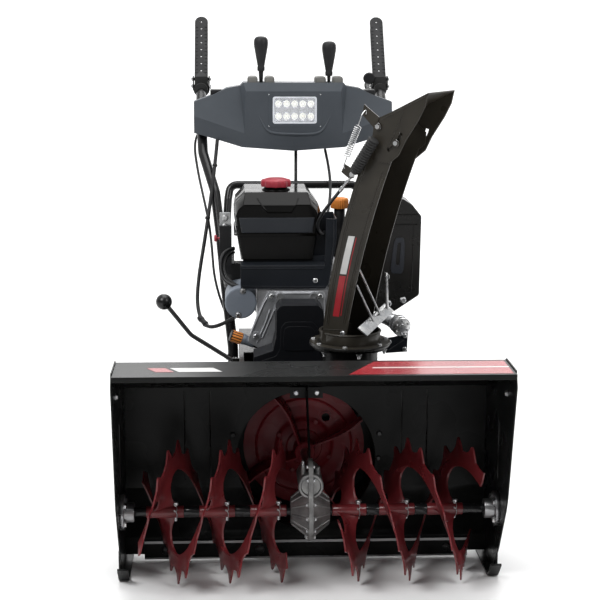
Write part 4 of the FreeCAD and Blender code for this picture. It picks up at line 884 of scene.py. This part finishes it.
def engine_details():
    """Starter end plate and leads, governor bracket, muffler guard plate, recoil rings and bolts."""
    bm = bmesh.new()
    lathe(bm, [(36.4, 0), (36.4, 4), (35.4, 5.6), (33.4, 6), (33, 6.6), (31, 6.7), (0.5, 6.9)],
          at(-136, 625, 495), FRONT, 64)
    piece("starter_plate", bm, STARTER_PAINT, "chassis")
    bm = bmesh.new()
    for across, up in ((-131, 523), (-142, 468)):
        lathe(bm, [(5.4, 0), (5.4, 2.2), (4, 3.4), (0.5, 3.6)], at(across, 618.4, up), FRONT, 20)
        torus(bm, [(5, 0), (7.2, 0), (7.2, 1), (5, 1)], at(across, 618.3, up), FRONT, 24)
    piece("starter_screws", bm, ZINC, "chassis")
    bm = bmesh.new()
    slab(bm, at(-184, 753.2, 640), at(-158, 756, 686))
    slab(bm, at(-176, 744, 566), at(-150, 747, 600))
    piece("governor_bracket", bm, ZINC, "chassis", bevel=0.8)
    bm = bmesh.new()
    thick = [(-150, 720, 606), (-172, 708, 604), (-184, 694, 574), (-178, 676, 544), (-160, 662, 530),
             (-140, 656, 527)]
    thin = [(-150, 726, 596), (-166, 712, 592), (-174, 698, 566), (-166, 676, 540), (-148, 664, 531)]
    for route, radius in ((thick, 4.6), (thin, 3.0)):
        hose(bm, spline_points([at(*point) for point in route], 8), radius, 12)
    piece("starter_leads", bm, CABLE_JACKET, "chassis")
    bm = bmesh.new()
    outer = softened([(218, 640), (242, 640), (240, 556), (208, 558)], 0.14)
    inner = softened([(225, 629), (233, 629), (230, 576), (221, 577)], 0.14)
    frame_plate(bm, outer, inner, upright(649.4), 0, 2.0)
    piece("guard_plate", bm, BAND_PLASTIC, "chassis", bevel=0.5)
    folds = on_face(649.8, [(132, 694), (200, 694), (274, 694)], [(132, 671), (200, 671), (275, 671)],
                    [(258, 514), (261, 600), (262, 668)])
    bead("guard_folds", folds, 1.3, BLACK_PAINT, "chassis")
    middle_x, middle_z = -15, 480
    bm = bmesh.new()
    for radius in (60, 32):
        torus(bm, [(radius - 2, 0), (radius + 2, 0), (radius + 1.4, 0.9), (radius - 1.4, 0.9)],
              at(middle_x, 856, middle_z), BACK, 64)
    piece("recoil_rings", bm, BLACK_PAINT, "chassis")
    bm = bmesh.new()
    for angle in (90, 210, 330):
        across, up = polar(84, angle)
        hexagon(bm, at(middle_x + across, 846, middle_z + up), BACK, 5.5, 5)
    piece("recoil_bolts", bm, ZINC, "chassis")


crankcase()
shroud_details()
tank()
caps()
engine_details()
print("engine ready")


# ---------------------------------------------------------------- console and levers

def console_shell():
    """Faceted console: a centre block standing forward of two wings, with two lever slots on top."""
    bm = bmesh.new()
    wing = [(-125, 1010, 976), (-132, 1021, 968), (-166, 1019, 962), (-197, 1024, 946), (-248, 1027, 928),
            (-248, 1015, 893), (-248, 1025, 850), (-186, 1017, 833), (-128, 1007, 816)]
    rim = wing + [(0, 1005, 807)] + [(-x, depth, z) for x, depth, z in reversed(wing)]
    last = len(rim) - 1
    rim += [(x, 1010, 976) for x in (98, 82, -72, -88)]
    front = [bm.verts.new(at(*point)) for point in rim]
    back = [bm.verts.new(at(x, 1080, z)) for x, _, z in rim]
    for index in range(last):
        bm.faces.new([front[index], front[index + 1], back[index + 1], back[index]])
    row = [*range(last, len(rim)), 0]
    near_line, far_line = ([bm.verts.new(at(rim[index][0], depth, 976)) for index in row]
                           for depth in (1010.8, 1075.4))
    for step in range(5):
        start, end = row[step], row[step + 1]
        bm.faces.new([front[start], front[end], near_line[step + 1], near_line[step]])
        bm.faces.new([far_line[step], far_line[step + 1], back[end], back[start]])
        if step in (0, 2, 4):
            bm.faces.new([near_line[step], near_line[step + 1], far_line[step + 1], far_line[step]])
    chins = [bm.verts.new(at(x, 1002, 851)) for x in (-122, 122)]
    brows = [bm.verts.new(at(x, 1000.6, 955)) for x in (-118, 118)]
    for chin, brow, order in zip(chins, brows, (range(9), range(last, 9, -1))):
        top_in, web, fifth, fourth, third, second, first, zero, low = (front[index] for index in order)
        for face in ((chin, zero, low), (zero, first, second), (chin, second, zero), (chin, fourth, third),
                     (chin, third, second), (chin, fifth, fourth), (chin, web, fifth),
                     (chin, brow, top_in), (chin, top_in, web)):
            bm.faces.new(face)
    bm.faces.new([*front[8:11], chins[1], chins[0]])
    hole = [bm.verts.new(at(x, 1001, z)) for x, z in ((-62, 868), (68, 868), (68, 948), (-62, 948))]
    block = chins + brows[::-1]
    for corner in range(4):
        after = (corner + 1) % 4
        bm.faces.new([block[corner], block[after], hole[after], hole[corner]])
    bm.faces.new([*brows, *front[last:], front[0]])
    rod(bm, at(-245, *LEVER_BAR), at(245, *LEVER_BAR), 4)
    item = piece("console_shell", bm, CONSOLE_PLASTIC, "chassis", sharp=60)
    skin = item.modifiers.new("skin", "SOLIDIFY")
    skin.thickness = 0.003
    skin.offset = -1
    edge_break(item, 0.006, 4, 14)
    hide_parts("console")


def console_details():
    """Moulded U below the lamp, gates beside the lever slots and the pods on the shoulders."""
    sweep = [(-95, 912), (-84, 888), (-76, 872), (-66, 858), (-50, 851), (0, 848), (54, 849), (70, 856),
             (82, 872), (90, 890), (100, 918)]
    bm = bmesh.new()
    hose(bm, spline_points([at(x, 1002.6, z) for x, z in sweep], 8),
         lambda share: 0.6 + 3.4 * math.sin(math.pi * share) ** 0.5, 12)
    piece("console_ridge", bm, CONSOLE_PLASTIC, "chassis")
    bm = bmesh.new()
    for low, high in ((-114, -88.6), (-71.4, -47), (54, 81.4), (98.6, 124)):
        middle, bar = (low + high) / 2, LEVER_BAR[0]
        outline = window(low, high, 1013, 1073, 8, 4)
        tiers = ((1, 1, 975.8), (1, 1, 984), (0.86, 0.93, 989), (0.55, 0.8, 991))
        loft(bm, [[at(middle + (x - middle) * narrow, bar + (depth - bar) * short, z)
                   for x, depth in outline] for narrow, short, z in tiers])
    piece("lever_gates", bm, GATE_PLASTIC, "chassis")
    bm = bmesh.new()
    for side in SIDES:
        slab(bm, at(side * 192 - 15, 1040, 940), at(side * 192 + 15, 1074, 957))
    piece("console_pods", bm, BLACK_PLASTIC, "chassis", bevel=3, segments=3)


def lamp():
    """Lamp in the console: dark frame, bright bezel, ten reflector bowls and their chips."""
    bm = bmesh.new()
    frame_plate(bm, window(-63, 69, 867, 949, 7), window(-52, 58, 875, 942, 6), upright(1003), 0, 2.6)
    slab(bm, at(-56, 1013.2, 871), at(62, 1017, 946))
    item = piece("lamp_frame", bm, CONSOLE_PLASTIC, "chassis", bevel=0.8)
    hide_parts("headlamp")
    bm = bmesh.new()
    frame_plate(bm, window(-52, 58, 875, 942, 6), window(-48, 54, 879, 938, 5), upright(1003), -3, 2.2)
    piece("lamp_bezel", bm, BEZEL, "chassis", bevel=0.6)
    bm = bmesh.new()
    spots = [(-37.5 + 20.2 * column, up) for column in range(5) for up in (893, 924)]
    bowl = ((9.9, 0), (9.3, 0.5), (7.6, 4), (5.2, 7.2), (3.2, 8.6))
    for across, up in spots:
        place = frame_on(at(across, 1002.6, up), BACK)
        loft(bm, [[place @ point for point in circle(radius, height, 24)] for radius, height in bowl],
             caps=False)
    slab(bm, at(-52, 1011, 874), at(58, 1013, 943))
    piece("lamp_bowls", bm, REFLECTOR, "chassis")
    bm = bmesh.new()
    for across, up in spots:
        slab(bm, at(across - 2.6, 1009.4, up - 2.6), at(across + 2.6, 1011, up + 2.6))
    piece("lamp_chips", bm, CHIP, "chassis")


def knobs():
    """Lever rods with their tapered grips."""
    for name, node, body, across, top, boot in (
            ("speed_knob", "speed_lever", "speed_stick", -80, 1089, 6),
            ("chute_knob", "chute_lever", "chute_stick", 90, 1077, 4.4)):
        bm = bmesh.new()
        profile = [(4, 908), (4, 974), (boot * 0.5 + 1.6, 976), (boot, top - 86), (8.6, top - 85.6),
                   (9.2, top - 82), (9.2, top - 76), (8.4, top - 74), (10.2, top - 64), (12.8, top - 50),
                   (15.2, top - 36), (17.2, top - 24), (17.8, top - 17), (17.2, top - 10), (15.2, top - 5),
                   (11, top - 1.6), (6, top - 0.4), (1, top)]
        lathe(bm, profile, at(across, LEVER_BAR[0], 0), UP, 40)
        torus(bm, [(4.05, 0), (8, 0), (8, 12), (4.05, 12)], at(across - 6, *LEVER_BAR), RIGHT, 28)
        item = piece(name, bm, BLACK_PLASTIC, body, sharp=40)
        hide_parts(node)


def paddle_ribs(side, across):
    """Cross ribs and rounded edges on a clutch lever."""
    cosine, sine = polar(1, 53.6)
    along, out = Vector((0, cosine, sine)), Vector((0, -sine, cosine))
    pivot = at(across, *PIVOT_LINE)
    bm = bmesh.new()
    for row in range(14):
        reach = 16 + 11 * row
        for low, high in ((-16.4, -9), (9, 16.4)):
            corners = [(low, reach - 1.2), (high, reach - 1.2), (high, reach + 1.2), (low, reach + 1.2)]
            loft(bm, [[pivot + Vector((x, 0, 0)) + along * y + out * height for x, y in corners]
                      for height in (6.9, 8.2)])
    for edge in (-15.6, 15.6):
        hose(bm, [pivot + Vector((edge, 0, 0)) + along * y + out * 7 for y in (4, 60, 120, 174)], 1.3, 8)
    piece("paddle_ribs_" + side, bm, BLACK_PLASTIC, "clutch_" + side, bevel=0.3)


def grip_ribs(side, across):
    """Ribbed grip with its collars, and the clutch lever's clamp on the tube."""
    tube = 950
    bm = bmesh.new()
    slab(bm, at(across - 17, 1183, 944), at(across + 17, 1186, 983))
    lathe(bm, [(12.6, 0), (16.6, 0.6), (16.6, 21), (12.6, 21.6)], at(across, 1164, tube), BACK, 36)
    for angle in range(0, 360, 30):
        offset, up = polar(17.2, angle)
        spot = at(across + offset, 1222, tube + up)
        rod(bm, spot, spot + Vector((0, 176, 0)), 1.1, 8)
    lathe(bm, [(17, 0), (21.5, 0.8), (21.5, 4), (17.4, 6)], at(across, 1216.2, tube), BACK, 40)
    lathe(bm, [(17, 0), (19.4, 0.8), (19.4, 6), (15, 9), (0.5, 9.6)], at(across, 1410, tube), BACK, 40)
    piece("grip_ribs_" + side, bm, RUBBER, "chassis", bevel=0.5)


def paddle_bolts(side, across):
    """Bolts of a clutch lever's clamp and pivot."""
    bm = bmesh.new()
    for sign in SIDES:
        hexagon(bm, at(across + sign * 22, 1192, 958), (sign, 0, 0), 4.6, 4)
        hexagon(bm, at(across + sign * 22, *PIVOT_LINE), (sign, 0, 0), 4.6, 3.6)
    piece("paddle_bolts_" + side, bm, ZINC, "chassis")


def lever_details():
    """Both clutch levers, and the latch beside the right one."""
    for side, across in (("left", -232), ("right", 232)):
        paddle_ribs(side, across)
        grip_ribs(side, across)
        paddle_bolts(side, across)
    bm = bmesh.new()
    lathe(bm, [(8, 0), (15, 0.6), (15.4, 6), (13, 9), (0.5, 9.6)], at(204, 1186, 979), FRONT, 32)
    slab(bm, at(202, 1186, 966), at(213, 1190, 984))
    piece("lever_latch", bm, BLACK_PLASTIC, "chassis")


console_shell()
console_details()
lamp()
knobs()
lever_details()
print("console ready")


# ---------------------------------------------------------------- cables

def cable_run(name, routes, material):
    """Smooth cables; routes are (points, radius) pairs."""
    bm = bmesh.new()
    for route, radius in routes:
        hose(bm, spline_points([at(*point) for point in route], 8), radius, 14)
    return piece(name, bm, material, "chassis")


def held_cables():
    """Clutch cables, wiring loop and shift rod, and the bare wires at the levers."""
    clutch = [(-238, 1096, 845), (-250, 1040, 830), (-240, 1000, 760), (-222, 930, 690), (-206, 880, 620),
              (-196, 800, 480), (-150, 790, 392)]
    right = [(-x, depth, z) for x, depth, z in clutch]
    loop = [(-190, 1012, 834), (-196, 968, 775), (-206, 918, 700), (-220, 860, 610), (-236, 820, 520),
            (-240, 776, 460), (-226, 730, 424), (-196, 690, 420), (-150, 668, 452)]
    shift = [(8, 1050, 805), (6, 1000, 640), (4, 930, 450), (2, 872, 330)]
    item = cable_run("held_cables", [(clutch, 3), (right, 3), (loop, 4.5), (shift, 4)], CABLE_JACKET)
    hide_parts("control_cables")
    wires = []
    for side in SIDES:
        wires.append(([(side * 214, 1188, 966), (side * 206, 1150, 950), (side * 196, 1100, 946),
                       (side * 186, 1070, 944)], 1.4))
        wires.append(([(side * 240, 1188, 958), (side * 240, 1150, 925), (side * 238, 1110, 870),
                       (side * 238, 1096, 846)], 1.4))
    cable_run("inner_wires", wires, STEEL)


def cable_fittings():
    """Connector and ties on the wiring loop."""
    bm = bmesh.new()
    way = (at(-214, 716, 421) - at(-232, 742, 436)).normalized()
    place = at(-233, 744, 437)
    for low, high, radius in ((0, 12, 7.6), (12, 24, 6.6), (24, 30, 7.6), (30, 36, 5.6)):
        rod(bm, place + way * low, place + way * high, radius, 8)
    piece("wiring_connector", bm, BLACK_PLASTIC, "chassis", bevel=0.8)
    bm = bmesh.new()
    for across, depth, z in ((-196, 968, 775), (-214, 886, 655)):
        torus(bm, [(4.4, -2), (6.2, -2), (6.2, 2), (4.4, 2)], at(across, depth, z),
              (-0.12, -0.5, -0.85), 20)
    piece("cable_ties", bm, BLACK_PLASTIC, "chassis")


def moving_cables():
    """Deflector's cable, and the starter rope out to its handle; both are fixed meshes on no body."""
    route = [(82, 1050, 806), (88, 965, 765), (86, 880, 715), (72, 800, 668), (62, 720, 645),
             (50, 640, 650), (34, 560, 678), (34, 470, 712), (50, 380, 755), (66, 325, 786)]
    bm = bmesh.new()
    hose(bm, spline_points([at(*point) for point in route], 12), 3.5, 14)
    item = piece("deflector_hose", bm, CABLE_JACKET, None)
    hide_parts("deflector_cable")
    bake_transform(item)
    bm = bmesh.new()
    inside, handle = at(58, 800, 480), at(58, 868, 480)
    hose(bm, [inside.lerp(handle, step / 40) for step in range(41)], 2.4, 12)
    rope = piece("starter_rope", bm, RUBBER, None)
    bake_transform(rope)


held_cables()
cable_fittings()
moving_cables()
print("cables ready")


# ---------------------------------------------------------------- chute

BACK_LINE = arc_through((-38, 455), (-5, 650), (86, 922))
FRONT_LINE = arc_through((22, 478), (66, 680), (128, 868))


def wall_strip(bm, low, high, near, far):
    """Strip on the near wall of the chute, between two distances from its back edge."""
    rows = []
    for step in range(15):
        z = low + (high - low) * step / 14
        rows.append([chute_at(BACK_LINE(z) + offset, -60.5, z) for offset in (near, far)])
    loft(bm, rows, closed=False, caps=False)


def chute_details():
    """Pressed creases and plain stripes on the chute's walls."""
    routes = []
    for y in (-60.1, 60.1):
        for offset in (7, 11.5):
            routes.append([chute_at(BACK_LINE(z) + offset, y, z) for z in range(498, 900, 20)])
        for offset in (8, 12.5):
            routes.append([chute_at(FRONT_LINE(z) - offset, y, z) for z in range(506, 840, 18)])
        routes.append([chute_at(x, y, 489 + 0.06 * x) for x in (-34, -20, 0, 22)])
    bead("chute_creases", routes, 0.95, CHUTE_PAINT, "chute_body")
    bm = bmesh.new()
    wall_strip(bm, 518, 606, 20, 35)
    wall_strip(bm, 520, 690, 38, 40)
    piece("chute_red_stripe", bm, DECAL_RED, "chute_body")
    bm = bmesh.new()
    wall_strip(bm, 610, 692, 20, 35)
    piece("chute_white_stripe", bm, DECAL_WHITE, "chute_body")


def chute_side(sign):
    """Way out of the chute's far wall, or of its near wall for -1."""
    return chute_at(0, sign, 0) - chute_at(0, 0, 0)


def chute_fittings():
    """Bolts of the chute, its neck band, and the flange and teeth of its ring."""
    bm = bmesh.new()
    for angle in (-70, -118, -160, -10, 40, 90, 150):
        hexagon(bm, chute_at(*polar(79, angle), 453.8), UP, 5.4, 4.6)
    for x, y, z in ((14, -60.4, 482), (57, 60.6, 590)):
        hexagon(bm, chute_at(x, y, z), chute_side(math.copysign(1, y)), 5.4, 4.4)
    for x, z in ((94, 922), (135, 890)):
        for sign in SIDES:
            hexagon(bm, chute_at(x, sign * 67.6, z), chute_side(sign), 6.4, 4)
    hexagon(bm, chute_at(40, -74.4, 822), chute_side(-1), 5.6, 4.4)
    piece("chute_bolts", bm, ZINC, "chute_body")
    bm = bmesh.new()
    torus(bm, [(62, 0), (66.4, 0), (67.6, 1.6), (66.4, 3.2), (62, 3.2)], chute_at(0, 0, 476), UP, 72)
    torus(bm, [(70, 0), (86.6, 0), (86.6, 1), (70, 1)], chute_at(0, 0, 454), UP, 72)
    for tooth in range(0, 360, 6):
        spot = chute_at(*polar(86, tooth), 447.8)
        rod(bm, spot, spot + Vector((0, 0, 5.8)), 1.1, 6)
    piece("ring_details", bm, CHUTE_PAINT, "chute_body")


def cable_end():
    """Bracket, rubber boot and ferrule where the deflector's cable ends on the chute."""
    bm = bmesh.new()
    for outline, depths in (([(22, 843), (44, 832), (44, 816), (34, 812), (14, 826)], (-74, -71.4)),
                            ([(34, 832), (42, 828), (42, 820), (34, 822)], (-72, -60))):
        loft(bm, [[chute_at(x, y, z) for x, z in outline] for y in depths])
    piece("cable_bracket", bm, CHUTE_PAINT, "chute_body", bevel=0.5)
    start, end = chute_at(92, -79.5, 897), chute_at(46, -79.5, 826)
    bm = bmesh.new()
    hose(bm, [start.lerp(end, step / 160) for step in range(161)],
         lambda share: 10.2 + 2.2 * abs(math.sin(math.pi * 15 * share)) - 4.5 * max(0, share - 0.88) * 8, 24)
    piece("cable_boot", bm, RUBBER, "chute_body")
    bm = bmesh.new()
    start, end = chute_at(38, -79.6, 815), chute_at(14, -79.8, 787)
    way = end - start
    lathe(bm, [(2.4, 0), (2.4, 8), (4, 8.6), (4, 14), (3, 14.6), (3, 26), (4.2, 26.6), (4.2, way.length)],
          start, way, 16)
    piece("cable_ferrule", bm, ZINC, "chute_body")


def deflector_details():
    """Folded edges of the hood and the tension spring that holds it."""
    edge = [(203, 993), (197, 966), (182, 937), (155, 896), (140, 866), (118, 848)]
    routes = []
    for y in (-64.6, 64.6):
        routes.append([chute_at(x, y, z) for x, z in edge])
        routes.append([chute_at(x, y, z) for x, z in ((99, 936), (118, 945), (198, 986))])
        routes.append([chute_at(x, y, z) for x, z in ((150, 962), (140, 930), (126, 902), (112, 876))])
    bead("hood_edges", routes, 1.0, CHUTE_PAINT, "hood")
    hooked = [chute_at(24, -78, 834), chute_at(22, -80, 840), chute_at(27, -80, 848),
              chute_at(30, -80, 858)]
    body_line = coil(chute_at(30, -80, 860), chute_at(56, -80, 922), 6.6, 16, 14)
    top = [chute_at(56, -80, 924), chute_at(59, -79, 934), chute_at(63, -76, 948), chute_at(66, -69, 955),
           chute_at(68, -66, 951), chute_at(67, -69, 946)]
    bm = bmesh.new()
    hose(bm, spline_points(hooked, 6), 1.1, 8)
    hose(bm, body_line, 0.85, 8)
    hose(bm, spline_points(top, 6), 1.1, 8)
    item = piece("tension_spring", bm, ZINC, None)
    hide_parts("deflector_spring")
    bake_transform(item)


def motor_details():
    """Motor that turns the chute, with its stepped gear head, and the folded bracket that holds it."""
    bm = bmesh.new()
    far, near = at(178, 505, 486), at(208, 462, 478)
    way = near - far
    lathe(bm, [(3, -0.2), (13, 0), (15, 1.4), (15, way.length * 0.6), (16.4, way.length * 0.62),
               (16.4, way.length * 0.72), (15, way.length * 0.74), (15, way.length)], far, way, 36)
    end = at(214, 440, 474)
    lathe(bm, [(15, -4), (20.4, -2), (21, 1), (21, 7), (19.4, 8), (19.4, 13), (21, 14), (21, 21), (18, 23),
               (8, 23.4), (7.4, 26.6), (0.5, 27)], near, end - near, 48)
    side = frame_on(end, end - near)
    for angle in range(0, 360, 60):
        spot = side @ Vector((*polar(15.4, angle), 0.2))
        lathe(bm, [(2.6, 0), (2.6, 1.6), (1.4, 2.2)], spot, end - near, 12)
    item = piece("chute_motor_can", bm, ZINC, "chassis")
    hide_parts("chute_motor")
    bm = bmesh.new()
    plate(bm, [(179, 449), (200, 452), (228, 462), (227, 418), (180, 415)], upright(450), 0, 3.4)
    slab(bm, at(150, 446.6, 433), at(184, 490, 438.8))
    rod(bm, at(186, 447, 424), at(218, 447, 446), 2.4, 10)
    piece("motor_bracket", bm, SHROUD_PAINT, "chassis", bevel=0.8)
    bm = bmesh.new()
    for x, z in ((187, 440), (221, 424), (221, 454)):
        hexagon(bm, at(x, 446.4, z), FRONT, 4.6, 4)
    piece("bracket_bolts", bm, ZINC, "chassis")


chute_details()
chute_fittings()
cable_end()
deflector_details()
motor_details()
print("chute ready")


# ---------------------------------------------------------------- wheels

def lug(bm, side, centre, angle):
    """One bar of the tread: from the middle of the tyre round its shoulder."""
    rings = []
    stations = ((3, 164.4, 0), (22, 164.2, 5), (40, 161.5, 9.5), (50, 154, 12), (54.5, 140, 13))
    for share, reach, sweep in stations:
        ring = [shaft_point(centre + side * share, radius, angle + sweep + offset, WHEEL_LINE)
                for offset, radius in ((-3.2, reach - 9), (-2.4, reach), (2.4, reach), (3.2, reach - 9))]
        rings.append(ring)
    loft(bm, rings)


def wheels():
    """Tyres with chevron lugs, and the pressed rims."""
    for name, centre in (("left", -300), ("right", 300)):
        bm = bmesh.new()
        half = [(84, -47), (90, -52), (104, -55), (124, -55.6), (142, -53), (152, -46), (156, -36)]
        carcass = half + [(157, 0)] + [(radius, -width) for radius, width in reversed(half)]
        torus(bm, carcass, at(centre, *WHEEL_LINE), RIGHT, 120)
        for row in range(20):
            lug(bm, 1, centre, 18 * row)
            lug(bm, -1, centre, 18 * row + 9)
        for radius in (112, 132):
            for side in SIDES:
                torus(bm, [(radius - 1, side * 54), (radius + 1, side * 54), (radius + 0.6, side * 55.9),
                           (radius - 0.6, side * 55.9)], at(centre, *WHEEL_LINE), RIGHT, 96)
        item = piece("tyre_lugs_" + name, bm, TYRE, "wheel_" + name)
        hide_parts("tyre_" + name)
        bm = bmesh.new()
        for side in SIDES:
            flange = ((80, 49), (84, 49), (89.5, 51.6), (89.5, 53), (84, 52), (80, 50.6))
            torus(bm, [(radius, side * width) for radius, width in flange], at(centre, *WHEEL_LINE),
                  RIGHT, 96)
            torus(bm, [(30, side * 2.4), (36, side * 5.6), (60, side * 5.6), (66, side * 2.4)],
                  at(centre, *WHEEL_LINE), RIGHT, 72)
            for step in range(5):
                spot = shaft_point(centre + side * 5.6, 48, 72 * step + 18, WHEEL_LINE)
                hexagon(bm, spot, (side, 0, 0), 7, 6)
        piece("rim_pressings_" + name, bm, RIM_PAINT, "wheel_" + name)


wheels()
print("wheels ready")


# ---------------------------------------------------------------- stage, light and camera

def axes_of(nodes, link, kind):
    """X, Y and Z of one kind of texture coordinate."""
    split = nodes.new("ShaderNodeSeparateXYZ")
    link(nodes.new("ShaderNodeTexCoord").outputs[kind], split.inputs["Vector"])
    return split.outputs


def stage():
    """Pale seamless floor and backdrop."""
    material, nodes, link, shader = new_material("studio_floor", rough=0.9)
    link(ramp(nodes, link, noise(nodes, link, 3), [(0.3, (0.80, 0.80, 0.80)), (0.7, (0.84, 0.84, 0.84))]),
         shader.inputs["Base Color"])
    glow = spread(nodes, link, axes_of(nodes, link, "Object")["Y"], 0.0, 0.62, start=2.2, end=5.5)
    shader.inputs["Emission Color"].default_value = (1, 1, 1, 1)
    link(glow, shader.inputs["Emission Strength"])
    half, front, back, top, bend = 12.0, -12.0, 8.0, 9.0, 2.5
    profile = [(front, 0.0)]
    for step in range(13):
        turn = math.radians(90 * step / 12)
        profile.append((back - bend + bend * math.sin(turn), bend - bend * math.cos(turn)))
    profile.append((back, top))
    bm = bmesh.new()
    loft(bm, [[Vector((-half, y, z)), Vector((half, y, z))] for y, z in profile], closed=False, caps=False)
    mesh = bpy.data.meshes.new("studio_floor")
    bm.to_mesh(mesh)
    bm.free()
    mesh.materials.append(material)
    mesh.shade_smooth()
    shown("studio_floor", mesh)


def area_light(name, place, target, power, width, height):
    """Rectangular lamp in metres and watts, turned to a target."""
    light = bpy.data.lights.new(name, "AREA")
    light.shape = "RECTANGLE"
    light.size = width
    light.size_y = height
    light.energy = power
    item = shown(name, light)
    item.location = place
    item.rotation_euler = (Vector(target) - Vector(place)).to_track_quat("-Z", "Y").to_euler()


def lights():
    """Soft lamps, and a sky that is bright above and behind but dim on the camera's side."""
    area_light("key", (-2.4, -2.6, 3.6), (0, 0, 0.5), 130, 2.2, 1.6)
    area_light("fill", (2.8, -2.6, 2.8), (0, -0.2, 0.5), 70, 1.6, 1.6)
    area_light("top", (0.0, 0.4, 4.2), (0, 0, 0.4), 110, 3.0, 3.0)
    area_light("back", (0.4, 3.2, 2.6), (0, 0, 0.6), 60, 3.0, 1.6)
    world = bpy.data.worlds.new("studio")
    world.use_nodes = True
    nodes, link = world.node_tree.nodes, world.node_tree.links.new
    background = nodes["Background"]
    axes = axes_of(nodes, link, "Generated")
    add = nodes.new("ShaderNodeMath")
    add.operation = "ADD"
    link(axes["Y"], add.inputs[0])
    link(axes["Z"], add.inputs[1])
    shade = ramp(nodes, link, add.outputs["Value"], [(0.0, (0.22, 0.22, 0.22)), (0.75, (1, 1, 1))])
    link(shade, background.inputs["Color"])
    background.inputs["Strength"].default_value = 0.85
    bpy.context.scene.world = world
    bpy.context.scene.view_settings.view_transform = "Standard"


def camera():
    """Standing eye height, a little left of centre, looking down at the intake."""
    yaw, pitch, roll = math.radians(2.71), math.radians(10.95), math.radians(0.19)
    forward = Vector((math.sin(yaw) * math.cos(pitch), math.cos(yaw) * math.cos(pitch), -math.sin(pitch)))
    right = Vector((math.cos(yaw), -math.sin(yaw), 0))
    up = right.cross(forward)
    right_rolled = right * math.cos(roll) + up * math.sin(roll)
    up_rolled = up * math.cos(roll) - right * math.sin(roll)
    data = bpy.data.cameras.new("camera")
    data.sensor_width = 36.0
    data.lens = 90.3
    item = shown("camera", data)
    turn = Matrix((right_rolled, up_rolled, -forward)).transposed().to_4x4()
    item.matrix_world = Matrix.Translation((-0.1605, LIP * MM - 2.7595, 1.156)) @ turn
    bpy.context.scene.camera = item


stage()
lights()
camera()
